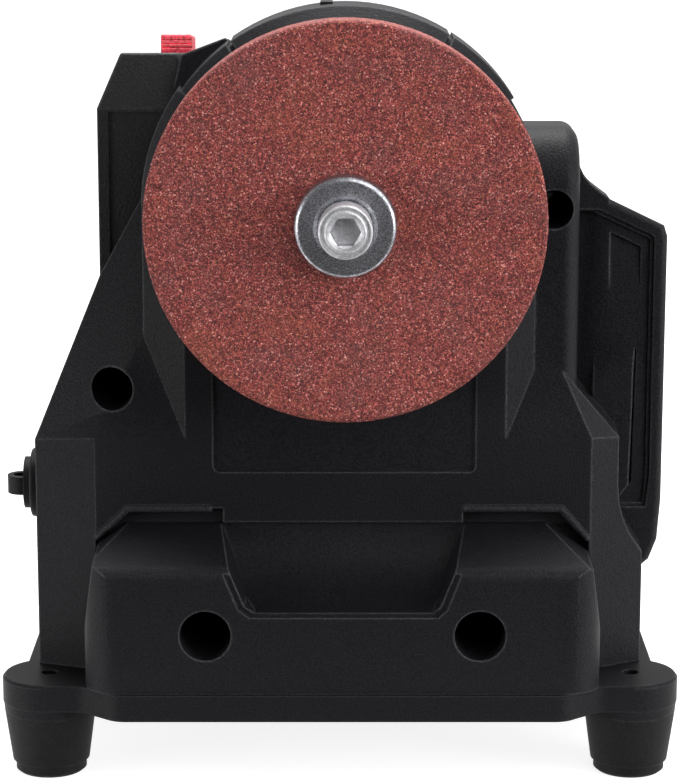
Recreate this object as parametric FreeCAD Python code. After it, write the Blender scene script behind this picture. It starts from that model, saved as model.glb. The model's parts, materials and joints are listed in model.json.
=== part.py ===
"""Cordless mini bench grinder: a wheel at one end, a tapered spindle at the other, a drop-in battery.

Millimetres. +Z is up and Z = 0 is the surface that the feet stand on. The spindle runs along Y,
with the wheel at -Y, the near end. +X is the side with the controls, -X the side with the battery.
"""
import FreeCAD, Part
import math
import os

os.makedirs("parts", exist_ok=True)
V = FreeCAD.Vector

# Wheels and spindle
AXLE_X = 1.0
AXLE_Z = 112.5
WHEEL_R = 37.5
WHEEL_W = 8.0
WHEEL_BORE_R = 5.0
WHEEL_BACK = 62.3
SHAFT_R = 4.0
BEARING_R = 11.0
BEARING_W = 7.0
BEARING_Y = 36.0
FLANGE_R = 9.5
FLANGE_RIM = 1.4
FLANGE_H = 4.0
SCREW_HEAD_R = 5.0
SCREW_HEAD_H = 6.0
SCREW_R = 3.0
SCREW_TIP = 49.0
RUN_GAP = 0.3
SHAFT_GAP = 0.04
NOSE_HOLE_R = 10.6
SHAFT_NEAR = 68.0
SHAFT_FAR = 62.0
NEAR_OPENING_R = 13.0
TAPER_TIP = 80.3

# Motor
CAN_R = 21.0
CAN_HALF = 31.0
CAN_WALL = 1.6
BELL_END = 43.3
BELL_HUB_R = 14.0
SEAT_R = 16.6
SEAT_BACK = 41.0
BELL_HOLE_R = 6.4
MAGNET_R = 15.4
MAGNET_HALF = 20.0
ROTOR_R = 15.0
ROTOR_HALF = 15.0
ROTOR_SLOTS = 10
WINDING_R = 13.6
COMMUTATOR_R = 6.0
COMMUTATOR_BARS = 10
BOLT_OFFSET = 17.5
BOLT_R = 1.2
FAN_R = 15.6

# Housing
WALL = 2.4
FRONT_Y = 48.5
RING_Y = 49.5
RING_R = 38.5
PAD_T = 0.7
RING_BEVEL = 3.0
COLUMN_X = -0.2
COLUMN_R = 38.2
BARREL_R = 31.0
SIDE_X = 60.2
SHOULDER_Z = 67.0
CORNER_DEPTH = 4.5
COLUMN_DEPTH = 3.5
PILLAR_X = 46.6
PILLAR_TOP = 126.8
PILLAR_LOW = 115.4
PILLAR_DEPTH = 27.0
POD_Y = 34.0
SKIRT_Y = 64.5
SKIRT_TOP = 49.6
SKIRT_EDGE = 44.3
SKIRT_BEND = 3.5
GROOVE_TOP = 52.9
GROOVE_DEPTH = 2.2
BEAD_R = 0.7
SCOOP_TOP = 50.1
SCOOP_FLOOR = 36.0
VENT_COUNT = 5
VENT_PITCH = 4.6
VENT_H = 2.0

# Screws that hold the two housing halves: centre x, centre z, well radius, mouth |y|
WELLS = {
    "shoulder": (-44.6, 76.4, 4.1, 48.5),
    "pillar": (41.4, 111.6, 3.8, 48.5),
    "skirt_left": (-26.0, 31.6, 4.95, 64.5),
    "skirt_right": (27.0, 31.6, 4.95, 64.5),
}
WELL_FLOOR = 16.0
CASE_SCREW_R = 1.5
CASE_HEAD_R = 2.8
CASE_HEAD_H = 2.2
BOSS_R = 3.6

# Base plate and feet
PLATE_Z0 = 14.5
PLATE_Z1 = 19.8
PLATE_FRONT = 65.2
PLATE_SIDE = 62.5
BASE_SCREW_X = 53.6
BASE_SCREW_Y = 35.0
BASE_SCREW_R = 1.4
BASE_HEAD_R = 2.7
EAR_X = 57.6
EAR_Y = 50.0
EAR_R = 9.3
EAR_HOLE_R = 1.6
BOSS_Z = 12.5
FOOT_TOP_R = 9.0
FOOT_LOW_R = 7.6
FOOT_PAD_R = 7.0
SPIGOT_R = 5.0
SPIGOT_Z = 16.0

# Battery pack, latch and bay
PACK_X0 = -47.7
PACK_X1 = -24.4
PACK_HALF = 33.4
PACK_Z0 = 82.0
PACK_TOP = 140.6
PACK_FALL = 0.097
PACK_LID_Z = 130.0
PACK_WALL = 1.3
BAY_GAP = 0.4
BAY_FLOOR = 80.5
CELL_R = 8.0
CELL_HALF = 31.0
CELL_X = -37.2
CELL_Z0 = 83.5
CELL_PITCH = 16.1
CONTACT_X = -27.4
CONTACT_YS = (-9.0, 0.0, 9.0)
BLADE_T = 0.8
BLADE_W = 4.0
BUTTON_X = -32.6
BUTTON_Y = -15.0
BUTTON_W = 6.2
BUTTON_L = 14.0
BUTTON_UP = 2.9
BUTTON_FLANGE_Z = 136.0
SPRING_Z = 132.6
SPRING_WIRE = 0.25
SPRING_COIL_R = 2.2

# Controls and charging inlet
PANEL_X = 64.0
PANEL_Y = 24.0
PANEL_Z0 = 53.0
PANEL_Z1 = 90.0
DIAL_Y = 11.5
DIAL_Z = 71.5
DIAL_R = 9.5
DIAL_FACE = 66.5
DIAL_BACK = 62.4
POT_SHAFT_R = 3.0
ROCKER_Y = -13.0
ROCKER_Z = 71.5
ROCKER_PIVOT_X = 61.3
ROCKER_R = 8.2
ROCKER_HALF_W = 4.8
ROCKER_TILT = 8.0
PIN_R = 1.2
BOARD_X = 48.0
BOARD_T = 1.6
INLET_Y = -34.0
INLET_Z = 54.7
INLET_R = 5.2
PLUG_STEM_R = 3.0
PLUG_REACH = 66.9
LOOP_R = 3.0
LEAD_R = 0.8


def box(x0, x1, y0, y1, z0, z1):
    return Part.makeBox(x1 - x0, y1 - y0, z1 - z0, V(x0, y0, z0))


def rod_y(x, z, r, y0, y1):
    """Round bar along Y."""
    return Part.makeCylinder(r, y1 - y0, V(x, y0, z), V(0, 1, 0))


def rod_z(x, y, r, z0, z1):
    """Round bar along Z."""
    return Part.makeCylinder(r, z1 - z0, V(x, y, z0), V(0, 0, 1))


def rod_x(y, z, r, x0, x1):
    """Round bar along X."""
    return Part.makeCylinder(r, x1 - x0, V(x0, y, z), V(1, 0, 0))


def axle_rod(r, y0, y1):
    return rod_y(AXLE_X, AXLE_Z, r, y0, y1)


def prism_y(points, y0, y1):
    """Closed outline in (x, z), drawn out along Y."""
    face = Part.Face(Part.makePolygon([V(x, y0, z) for x, z in points + points[:1]]))
    return face.extrude(V(0, y1 - y0, 0))


def prism_x(points, x0, x1):
    """Closed outline in (y, z), drawn out along X."""
    face = Part.Face(Part.makePolygon([V(x0, y, z) for y, z in points + points[:1]]))
    return face.extrude(V(x1 - x0, 0, 0))


def prism_z(points, z0, z1):
    """Closed outline in (x, y), drawn out along Z."""
    face = Part.Face(Part.makePolygon([V(x, y, z0) for x, y in points + points[:1]]))
    return face.extrude(V(0, 0, z1 - z0))


def turned(points):
    """Profile of (y, radius) turned about the spindle axis."""
    ring = [V(AXLE_X, y, AXLE_Z + r) for y, r in points]
    face = Part.Face(Part.makePolygon(ring + ring[:1]))
    return face.revolve(V(AXLE_X, 0, AXLE_Z), V(0, 1, 0), 360)


def far(shape):
    """The same piece at the other end."""
    return shape.mirror(V(0, 0, 0), V(0, 1, 0))


def half_space(point, normal, size=400.0):
    """A large block on the side of a plane that its normal points to."""
    n = V(*normal).normalize()
    block = Part.makeBox(size, size, size, V(-size / 2, -size / 2, 0))
    block.Placement = FreeCAD.Placement(V(*point), FreeCAD.Rotation(V(0, 0, 1), n))
    return block


NEAR = box(-90, 90, -90, 0, 0, 200)


def round_edges(shape, radius, wanted):
    """Round the edges whose middle point satisfies the rule."""
    edges = [e for e in shape.Edges if wanted(e.valueAt((e.FirstParameter + e.LastParameter) / 2), e)]
    return shape.makeFillet(radius, edges)


def shoulder_block():
    """Left shoulder, front face and both lower corners of one half."""
    outline = [(-SIDE_X, PLATE_Z1), (-SIDE_X, 65.8), (-47.3, 97.6), (-38.4, 113.8), (AXLE_X, 113.8),
               (43.5, 80.0), (54.9, 66.6), (54.9, 57.0), (55.2, 53.4), (56.1, 49.8), (57.5, 46.6),
               (59.2, 43.9), (SIDE_X, 42.4), (SIDE_X, PLATE_Z1)]
    body = prism_y(outline, -FRONT_Y, 0)
    left_low = (-48.1, -FRONT_Y, 0)
    body = body.cut(half_space(left_low, (-CORNER_DEPTH, -12.1, 0)))
    corner = V(-48.1, -FRONT_Y, SHOULDER_Z)
    apex = V(-38.4, -FRONT_Y + COLUMN_DEPTH, 87.0)
    side = V(-SIDE_X, -FRONT_Y + CORNER_DEPTH, 65.8)
    slope = (apex - corner).cross(side - corner)
    body = body.cut(half_space(tuple(corner), tuple(slope)))
    right_low = (49.3, -FRONT_Y, 0)
    body = body.cut(half_space(right_low, (CORNER_DEPTH, -8.0, 0)))
    r_corner = V(49.3, -FRONT_Y, SHOULDER_Z)
    r_apex = V(43.5, -FRONT_Y + COLUMN_DEPTH, 80.0)
    r_side = V(54.9, -FRONT_Y + CORNER_DEPTH * 0.7, 66.6)
    slope = (r_side - r_corner).cross(r_apex - r_corner)
    body = body.cut(half_space(tuple(r_corner), tuple(slope)))
    facet = prism_x([(-FRONT_Y - 5, SHOULDER_Z), (-FRONT_Y, SHOULDER_Z),
                     (-FRONT_Y + COLUMN_DEPTH, 87.0), (-FRONT_Y + COLUMN_DEPTH, 130.0),
                     (-FRONT_Y - 5, 130.0)], -80, AXLE_X)
    facet_right = prism_x([(-FRONT_Y - 5, SHOULDER_Z), (-FRONT_Y, SHOULDER_Z),
                           (-FRONT_Y + COLUMN_DEPTH, 80.0), (-FRONT_Y + COLUMN_DEPTH, 130.0),
                           (-FRONT_Y - 5, 130.0)], AXLE_X, 80)
    return body.cut(facet).cut(facet_right)


def drum(radius, bevel, back):
    """Solid drum on the spindle's axis with a conical front edge."""
    return turned([(-RING_Y, 0.0), (-RING_Y, radius - bevel), (-RING_Y + bevel, radius), (back, radius),
                   (back, 0.0)])


def column_block():
    """Upright column with a round top, its front edges bevelled."""
    body = box(COLUMN_X - COLUMN_R, COLUMN_X + COLUMN_R, -FRONT_Y, -POD_Y, 40, AXLE_Z)
    body = body.fuse(rod_y(COLUMN_X, AXLE_Z, COLUMN_R, -FRONT_Y + RING_BEVEL, -POD_Y))
    body = body.fuse(Part.makeCone(COLUMN_R - RING_BEVEL, COLUMN_R, RING_BEVEL, V(COLUMN_X, -FRONT_Y, AXLE_Z),
                                   V(0, 1, 0)))
    for side, bevel in ((-1, 8.1), (1, 5.6)):
        edge = half_space((COLUMN_X + side * (COLUMN_R - bevel), -FRONT_Y, 0), (side * COLUMN_DEPTH, -bevel, 0))
        body = body.cut(edge.common(box(-80, 80, -80, 0, 0, AXLE_Z)))
    crown = rod_y(COLUMN_X, AXLE_Z, COLUMN_R + 1, -FRONT_Y - 1, 0)
    crown = crown.cut(drum(RING_R - PAD_T, RING_BEVEL, 0))
    reach = 80.0
    spread = math.radians(55)
    wedge = prism_y([(AXLE_X, AXLE_Z),
                     (AXLE_X - reach * math.sin(spread), AXLE_Z + reach * math.cos(spread)),
                     (AXLE_X + reach * math.sin(spread), AXLE_Z + reach * math.cos(spread))],
                    -FRONT_Y - 2, 1)
    body = body.cut(crown.common(wedge))
    web = prism_y([(-14.0, 140.0), (-22.4, 143.8), (-30.9, 140.6), (-32.4, 134.5), (-26.0, 128.0)],
                  -POD_Y - 2.6, -POD_Y)
    return body.fuse(web)


def ring_block():
    """Drum ring behind the wheel, with three raised pads and a small rib on top."""
    ring = drum(RING_R - PAD_T, RING_BEVEL, -POD_Y)
    raised = drum(RING_R, RING_BEVEL - 0.3, -POD_Y - 0.8)
    for start, end in ((-55.0, -36.0), (-34.5, 31.0), (32.5, 57.0)):
        steps = 12
        angles = [math.radians(start + (end - start) * i / steps) for i in range(steps + 1)]
        reach = 60.0
        fan = [(AXLE_X, AXLE_Z)]
        fan += [(AXLE_X + reach * math.sin(a), AXLE_Z + reach * math.cos(a)) for a in angles]
        ring = ring.fuse(raised.common(prism_y(fan, -80, 0)))
    rib = box(-3.8, -1.4, -RING_Y + 8, -POD_Y, AXLE_Z + 30, AXLE_Z + RING_R + 0.3)
    return ring.fuse(rib)


def skirt_block():
    """Foot of the near half: two humps with a scoop between them."""
    fall = math.atan2(SKIRT_TOP - SKIRT_EDGE, SKIRT_Y - FRONT_Y)
    centre_z = SKIRT_EDGE - SKIRT_BEND * math.tan(math.pi / 4 - fall / 2)
    profile = [(-FRONT_Y + 6, SKIRT_TOP), (-FRONT_Y, SKIRT_TOP)]
    for i in range(7):
        turn = fall + (math.pi / 2 - fall) * i / 6
        profile.append((-SKIRT_Y + SKIRT_BEND - SKIRT_BEND * math.sin(turn), centre_z + SKIRT_BEND * math.cos(turn)))
    profile += [(-SKIRT_Y, PLATE_Z1), (-FRONT_Y + 6, PLATE_Z1)]
    block = box(-49.8, 50.7, -SKIRT_Y, -FRONT_Y + 6, PLATE_Z1, SKIRT_TOP + 1)
    block = round_edges(block, 7.0, lambda p, e: abs(p.y + SKIRT_Y) < 0.02 and 30 < p.z < 40)
    body = block.common(prism_x(profile, -60, 60))
    for place, slope in (((-47.9, 0, 45.7), (-4.5, 0, 6.7)), ((48.95, 0, 44.2), (5.44, 0, 8.25)),
                         ((-49.8, 0, 31.0), (-11.6, 0, 1.7)), ((50.7, 0, 31.0), (11.6, 0, 1.7))):
        body = body.cut(half_space(place, slope))
    return body.cut(scoop_room())


def scoop_room():
    """Hollow between the two humps: a floor that curves up and back, with a stepped lip round it."""
    back = -FRONT_Y + 1.2
    cove = []
    for i in range(13):
        turn = math.radians(90.0 * i / 12)
        cove.append((-SKIRT_Y + (back + SKIRT_Y) * math.sin(turn),
                     SCOOP_TOP - (SCOOP_TOP - SCOOP_FLOOR) * math.cos(turn)))
    floor = prism_x([(-80, SCOOP_FLOOR)] + cove + [(-80, SCOOP_TOP)], -60, 60)
    sides = prism_y([(-16.3, 30.0), (17.9, 30.0), (17.9, 36.0), (19.4, 37.4), (22.0, 43.9), (24.6, 50.2), (24.6, 54.0),
                     (-23.6, 54.0), (-23.6, 50.2), (-21.1, 43.9), (-18.4, 37.4), (-16.3, 36.0)], -80, 0)
    lip = prism_y([(-17.3, 35.3), (18.9, 35.3), (20.6, 36.9), (23.2, 43.6), (23.9, 46.0), (-22.9, 46.0), (-22.3, 43.6),
                   (-19.6, 36.9)], -80, -SKIRT_Y + 0.7)
    return sides.common(floor).fuse(lip)


def hump_groove():
    """Step let into the front face, just above the two humps of the foot."""
    left = prism_y([(-48.1, 40.0), (-48.1, 47.4), (-41.9, GROOVE_TOP), (-23.0, GROOVE_TOP), (-23.0, 40.0)],
                   -FRONT_Y - 2, -FRONT_Y + GROOVE_DEPTH)
    right = prism_y([(24.2, 40.0), (24.2, GROOVE_TOP), (43.2, GROOVE_TOP), (48.9, 46.9), (48.9, 40.0)],
                    -FRONT_Y - 2, -FRONT_Y + GROOVE_DEPTH)
    return left.fuse(right)


def groove_bead():
    """Rounded lip along the upper edge of each groove, half sunk in the front face."""
    lips = []
    for run in ([(-47.7, 47.2), (-41.8, 52.8), (-25.7, 52.8)], [(24.8, 52.8), (43.5, 52.8), (48.5, 47.0)]):
        line = [V(x, -FRONT_Y + 0.15, z) for x, z in run]
        lips += [Part.makeCylinder(BEAD_R, (b - a).Length, a, b - a) for a, b in zip(line, line[1:])]
        lips += [Part.makeSphere(BEAD_R, point) for point in line]
    return lips[0].multiFuse(lips[1:])


def low_pillar(y0):
    return box(30, PILLAR_X, y0, 0, 36.5, PILLAR_LOW)


def tall_pillar():
    """Raised near end of the right-hand pillar, rounded well back, which takes the upper screw."""
    front = -FRONT_Y + COLUMN_DEPTH
    tall = box(30, PILLAR_X, front, -PILLAR_DEPTH, 62.0, PILLAR_TOP)
    tall = round_edges(tall, 10.8, lambda p, e: abs(p.y - front) < 0.01 and abs(p.z - PILLAR_TOP) < 0.01)
    tall = round_edges(tall, 3.2, lambda p, e: abs(p.x - PILLAR_X) < 0.01 and p.z > 81
                       and abs(p.y + PILLAR_DEPTH) > 0.01)
    web = prism_y([(45.0, 110.0), (45.0, 122.6), (46.6, 122.6), (46.8, 120.4), (47.3, 118.4), (48.2, 116.6),
                   (49.4, 115.1), (50.9, 113.9), (53.2, 112.2), (53.2, 110.0)], -POD_Y, -PILLAR_DEPTH)
    return tall.fuse(web)


POD_OUTLINE = [(36, 38.5), (60.4, 36.5), (62.6, 38.4), (64.2, 42.6), (64.8, 51.0), (64.9, 104.6), (64.1, 107.1),
               (49.7, 113.9), (46.0, 115.0), (36, 115.0)]
POD_FALL = 0.175


def pod_slope(z):
    """Everything above the pod's top, which leans outwards and falls towards the far end."""
    return half_space((63.4, -POD_Y, z), (5.8, 12.0 * POD_FALL, 12.0))


def pod_block():
    """Flat pod on the control side, its near end sunk in two steps, its top falling to the far end."""
    body = prism_y(POD_OUTLINE, -POD_Y, POD_Y)
    body = round_edges(body, 1.4, lambda p, e: abs(abs(p.y) - POD_Y) < 0.01 and p.x > 50)
    body = body.cut(pod_slope(107.3))
    first = prism_y([(46.0, 49.6), (61.5, 49.6), (62.2, 56.0), (62.2, 104.4), (61.6, 105.0), (49.6, 110.7),
                     (46.0, 110.7)], -POD_Y - 1, -POD_Y + 0.45)
    second = prism_y([(46.0, 50.4), (60.9, 50.4), (61.4, 56.0), (61.4, 104.0), (60.9, 104.4), (49.6, 109.7),
                      (46.0, 109.7)], -POD_Y - 1, -POD_Y + 0.9)
    tongue = prism_x([(-POD_Y, 46.0), (-POD_Y + 1.0, 46.0), (-POD_Y + 1.0, 84.0), (-POD_Y, 53.0)], 44, 58.6)
    tongue = tongue.cut(half_space((58.4, -POD_Y, 54.5), (4.2, 0, -3.1)))
    body = body.cut(first).cut(second).fuse(tongue)
    groove = prism_y([(58.1, 54.0), (58.6, 54.6), (59.2, 82.0), (58.9, 82.0)], -POD_Y - 1, -POD_Y + 1.6)
    trough = prism_z([(45, -POD_Y - 2), (50.8, -POD_Y + 0.9), (48.2, -POD_Y + 1.9), (45, -POD_Y + 1.9)], 52.0, 109.7)
    dish = prism_x([(-POD_Y - 1, 106.0), (-POD_Y + 1.7, 106.0), (-POD_Y + 0.9, 93.8), (-POD_Y - 1, 93.8)], 53.6, 59.6)
    dish = dish.cut(half_space((53.6, 0, 105.4), (5.8, 0, 12.0)))
    return body.cut(groove).cut(trough).cut(dish)


def near_outer():
    core = box(-23.9, COLUMN_X + COLUMN_R, -POD_Y - 1, 0, 60, AXLE_Z)
    body = shoulder_block()
    for piece in (column_block(), ring_block(), low_pillar(-PILLAR_DEPTH), tall_pillar(),
                  pod_block().common(NEAR), axle_rod(BARREL_R, -POD_Y - 1, 0), core):
        body = body.fuse(piece)
    return body.cut(hump_groove()).cut(scoop_room()).fuse(skirt_block()).fuse(groove_bead())


def far_outer():
    """Outside of the far half, laid out at -Y and turned over at the end."""
    back = -FRONT_Y + COLUMN_DEPTH
    barrel = axle_rod(BARREL_R, back, 0)
    barrel = round_edges(barrel, 2.0, lambda p, e: abs(p.y - back) < 0.01 and e.Length > 50)
    core = box(-23.9, COLUMN_X + COLUMN_R - 4.0, back, 0, 60, AXLE_Z)
    body = shoulder_block()
    for piece in (barrel, core, low_pillar(back), far(pod_block()).common(NEAR)):
        body = body.fuse(piece)
    return body.cut(hump_groove()).cut(scoop_room()).fuse(skirt_block()).fuse(groove_bead())


def low_cavity():
    """Room in the foot and under the bay, open underneath where the base plate closes it."""
    low = prism_z([(-SIDE_X + WALL, 0), (-SIDE_X + WALL, -41.8), (-46.4, -43.9), (47.6, -43.9),
                   (52.5, -42.4), (52.5, 0)], PLATE_Z1 - 1, 60.0)
    for piece in (
        prism_y([(-57.8, 58.0), (-57.8, 65.3), (-52.9, 77.2), (-20.0, 78.1), (-20.0, 58.0)], -39.5, 0),
        box(50, SIDE_X - WALL, -41.8, 0, PLATE_Z1 - 1, 40.0),
        box(-47.2, 48.1, -SKIRT_Y + WALL, -42, PLATE_Z1 - 1, 33.5),
        box(34, 50, -POD_Y + 3.6, 0, 56.0, 98.0),
    ):
        low = low.fuse(piece)
    return low


def pod_cavity():
    """Room in the pod, under its sloping top."""
    room = prism_y([(44, 42.0), (58.8, 42.0), (61.0, 46.0), (61.9, 101.0), (50.6, 106.0), (50.0, 98.0),
                    (44, 98.0)], -POD_Y + 3.6, POD_Y - 3.6)
    return room.cut(pod_slope(103.6))


def near_cavity():
    room = low_cavity()
    left = -21.6
    for piece in (
        box(left, 30, -46.1, 0, 55.5, AXLE_Z),
        box(29, COLUMN_X + COLUMN_R - WALL, -42.4, 0, 50, 100.0),
        box(-35.6, left + 1, -43.2, -36.3, 58, AXLE_Z),
        axle_rod(RING_R - PAD_T - WALL, -RING_Y + WALL, -POD_Y - WALL),
        axle_rod(BARREL_R - WALL, -POD_Y - WALL - 1, 0).common(box(left, 80, -80, 0, 0, 200)),
        pod_cavity().common(NEAR),
    ):
        room = room.fuse(piece)
    return room


def far_cavity():
    room = low_cavity()
    left = -21.6
    back = -FRONT_Y + COLUMN_DEPTH + WALL
    for piece in (
        box(left, 30, back, 0, 50, AXLE_Z),
        box(29, 35, -POD_Y + 3.6, 0, 56.0, 98.0),
        axle_rod(BARREL_R - WALL, back, 0).common(box(left, 80, -80, 0, 0, 200)),
        far(pod_cavity()).common(NEAR),
    ):
        room = room.fuse(piece)
    return room


def near_housing():
    """Near half: a blind tube for each case screw, open to the front."""
    outer = near_outer()
    body = outer.cut(near_cavity())
    for x, z, r, mouth in WELLS.values():
        inside = 2.0 if mouth > FRONT_Y else 6.0
        tube = rod_y(x, z, r + 1.4, -mouth + inside, -WELL_FLOOR + 2.0).fuse(rod_y(x, z, BOSS_R, -WELL_FLOOR, 0))
        body = body.fuse(tube.common(outer))
    for x, z, r, mouth in WELLS.values():
        body = body.cut(rod_y(x, z, r, -mouth - 1, -WELL_FLOOR))
        body = body.cut(rod_y(x, z, CASE_SCREW_R + 0.25, -WELL_FLOOR - 1, 1))
    return finish_half(body, -1)


def far_housing():
    """Far half: a blind boss for each case screw, nothing showing on its end face."""
    outer = far_outer()
    body = outer.cut(far_cavity())
    for x, z, _, mouth in WELLS.values():
        inside = 2.0 if mouth > FRONT_Y else 6.0
        body = body.fuse(rod_y(x, z, BOSS_R, -mouth + inside, 0).common(outer))
    for x, z, _, _ in WELLS.values():
        body = body.cut(rod_y(x, z, CASE_SCREW_R, -WELL_FLOOR, 1))
    return finish_half(far(body), 1)


def finish_half(body, side):
    """Bay, spindle opening, seat for the end bell, label recess, panel window, vents and inlet."""
    bay = box(PACK_X0 - BAY_GAP, PACK_X1 + BAY_GAP, -PACK_HALF - BAY_GAP, PACK_HALF + BAY_GAP, BAY_FLOOR, 170)
    body = body.cut(bay)
    if side < 0:
        seat = axle_rod(SEAT_R, -RING_Y + WALL - 0.1, -SEAT_BACK)
        seat = seat.cut(axle_rod(BELL_HUB_R, -BELL_END, -SEAT_BACK + 1))
        body = body.fuse(seat).cut(axle_rod(NEAR_OPENING_R, -60, -SEAT_BACK + 1))
    else:
        body = body.fuse(axle_rod(SEAT_R, SEAT_BACK, BELL_END)).cut(axle_rod(BELL_HUB_R, SEAT_BACK - 1, BELL_END))
        body = body.cut(axle_rod(NOSE_HOLE_R, SEAT_BACK - 1, 60))
    if side < 0:
        label = box(-24.8, 26.5, -FRONT_Y - 3, -FRONT_Y + 0.5, 60.3, 84.0)
        body = body.cut(round_edges(label, 1.2, lambda p, e: abs(e.Length - 3.5) < 0.01))
    body = body.cut(box(57.0, 70.0, -PANEL_Y - 0.3, PANEL_Y + 0.3, PANEL_Z0 - 0.3, PANEL_Z1 + 0.3))
    for i in range(VENT_COUNT):
        z = AXLE_Z + 6.0 + i * VENT_PITCH
        slot = box(10, 50, -22.0, 22.0, z, z + VENT_H)
        body = body.cut(slot.common(axle_rod(BARREL_R + 3, -30, 30)).cut(axle_rod(BARREL_R - 4, -31, 31)))
    body = body.cut(box(-31.2, -24.0, -13.2, 13.2, 70, BAY_FLOOR + 1))
    body = body.cut(box(BOARD_X, BOARD_X + BOARD_T, -31.2, 31.2, 47.0, 97.0))
    if side < 0:
        body = body.cut(rod_x(INLET_Y, INLET_Z, INLET_R, -SIDE_X - 2, -SIDE_X + 6))
    for x in (-BASE_SCREW_X, BASE_SCREW_X):
        foot = box(min(x, x * 1.09) - 3.6 * (x > 0), max(x, x * 1.09) + 3.6 * (x < 0),
                   side * BASE_SCREW_Y - 3.6, side * BASE_SCREW_Y + 3.6, PLATE_Z1, 31.0)
        body = body.fuse(foot)
        body = body.cut(rod_z(x, side * BASE_SCREW_Y, BASE_SCREW_R, PLATE_Z1 - 1, 29.0))
    return body.common(NEAR if side < 0 else far(NEAR))


def housing_screws():
    group = []
    for x, z, r, mouth in WELLS.values():
        rim = -WELL_FLOOR - CASE_HEAD_H + 0.8
        head = Part.makeCone(CASE_HEAD_R - 0.9, CASE_HEAD_R, 0.8, V(x, rim - 0.8, z), V(0, 1, 0))
        head = head.fuse(rod_y(x, z, CASE_HEAD_R, rim, -WELL_FLOOR))
        for turn in (0, 90):
            bar = box(x - 1.9, x + 1.9, -WELL_FLOOR - 3, -WELL_FLOOR - 0.9, z - 0.35, z + 0.35)
            bar.rotate(V(x, 0, z), V(0, 1, 0), turn)
            head = head.cut(bar)
        group.append(head.fuse(rod_y(x, z, CASE_SCREW_R, -WELL_FLOOR, 12.0)))
    return Part.makeCompound(group)


def base_plate():
    """Flat plate with four ears, a boss and a foot socket under each ear."""
    half = [(-57.6, -59.3), (-50.5, -59.3), (-43.5, -PLATE_FRONT), (43.5, -PLATE_FRONT), (50.5, -59.3),
            (57.6, -59.3)]
    outline = half + [(x, -y) for x, y in reversed(half)]
    plate = prism_z(outline, PLATE_Z0, PLATE_Z1)
    plate = round_edges(plate, 5.0, lambda p, e: abs(p.z - (PLATE_Z0 + PLATE_Z1) / 2) < 0.01
                        and abs(p.x) < 51)
    plate = plate.fuse(box(-PLATE_SIDE, PLATE_SIDE, -46, 46, PLATE_Z0, PLATE_Z1))
    for x, y in ear_places():
        ear = rod_z(x, y, EAR_R, PLATE_Z0, PLATE_Z1 - 0.6)
        ear = ear.fuse(Part.makeCone(EAR_R, EAR_R - 0.5, 0.6, V(x, y, PLATE_Z1 - 0.6)))
        plate = plate.fuse(ear)
        plate = plate.fuse(Part.makeCone(FOOT_TOP_R, EAR_R - 0.1, PLATE_Z0 - BOSS_Z, V(x, y, BOSS_Z)))
    for x, y in ear_places():
        plate = plate.cut(rod_z(x, y, SPIGOT_R, BOSS_Z - 1, SPIGOT_Z))
        plate = plate.cut(rod_z(x, y, EAR_HOLE_R, BOSS_Z - 1, PLATE_Z1 + 1))
    for x in (-BASE_SCREW_X, BASE_SCREW_X):
        for y in (-BASE_SCREW_Y, BASE_SCREW_Y):
            plate = plate.cut(rod_z(x, y, BASE_SCREW_R + 0.25, PLATE_Z0 - 1, PLATE_Z1 + 1))
            plate = plate.cut(rod_z(x, y, BASE_HEAD_R + 0.3, PLATE_Z0 - 1, PLATE_Z0 + 2.2))
    return plate


def ear_places():
    return [(x, y) for y in (-EAR_Y, EAR_Y) for x in (-EAR_X, EAR_X)]


def foot(x, y):
    """Tapered rubber foot with a spigot above and a screw hole right through."""
    points = [(EAR_HOLE_R, SPIGOT_Z), (SPIGOT_R - 0.5, SPIGOT_Z), (SPIGOT_R, SPIGOT_Z - 0.6), (SPIGOT_R, BOSS_Z),
              (FOOT_TOP_R, BOSS_Z), (FOOT_LOW_R, 2.4), (FOOT_PAD_R, 2.1), (FOOT_PAD_R, 0.5),
              (FOOT_PAD_R - 0.6, 0.0), (EAR_HOLE_R, 0.0)]
    ring = [V(x + r, y, z) for r, z in points]
    face = Part.Face(Part.makePolygon(ring + ring[:1]))
    return face.revolve(V(x, y, 0), V(0, 0, 1), 360)


def base_screws():
    group = []
    for x in (-BASE_SCREW_X, BASE_SCREW_X):
        for y in (-BASE_SCREW_Y, BASE_SCREW_Y):
            head = rod_z(x, y, BASE_HEAD_R, PLATE_Z0 + 0.3, PLATE_Z0 + 2.2)
            head = head.cut(box(x - 2.0, x + 2.0, y - 0.35, y + 0.35, PLATE_Z0, PLATE_Z0 + 1.2))
            group.append(head.fuse(rod_z(x, y, BASE_SCREW_R, PLATE_Z0 + 2.2, 28.5)))
    return Part.makeCompound(group)


def motor_can():
    can = axle_rod(CAN_R, -CAN_HALF, CAN_HALF).cut(axle_rod(CAN_R - CAN_WALL, -CAN_HALF - 1, CAN_HALF + 1))
    for turn in (45, 135, 225, 315):
        for y in (-28.5, 24.0):
            window = box(AXLE_X + 15, AXLE_X + 25, y, y + 4.5, AXLE_Z - 4.5, AXLE_Z + 4.5)
            window.rotate(V(AXLE_X, 0, AXLE_Z), V(0, 1, 0), turn)
            can = can.cut(window)
    return can


def motor_magnets():
    """Two curved magnets against the inside of the can, left and right."""
    ring = axle_rod(CAN_R - CAN_WALL, -MAGNET_HALF, MAGNET_HALF)
    ring = ring.cut(axle_rod(MAGNET_R, -MAGNET_HALF - 1, MAGNET_HALF + 1))
    slope = math.tan(math.radians(62))
    arcs = []
    for sign in (-1, 1):
        reach = 30.0
        fan = prism_y([(AXLE_X, AXLE_Z), (AXLE_X + sign * reach, AXLE_Z + reach * slope),
                       (AXLE_X + sign * reach, AXLE_Z - reach * slope)], -40, 40)
        arcs.append(ring.common(fan))
    return Part.makeCompound(arcs)


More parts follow.
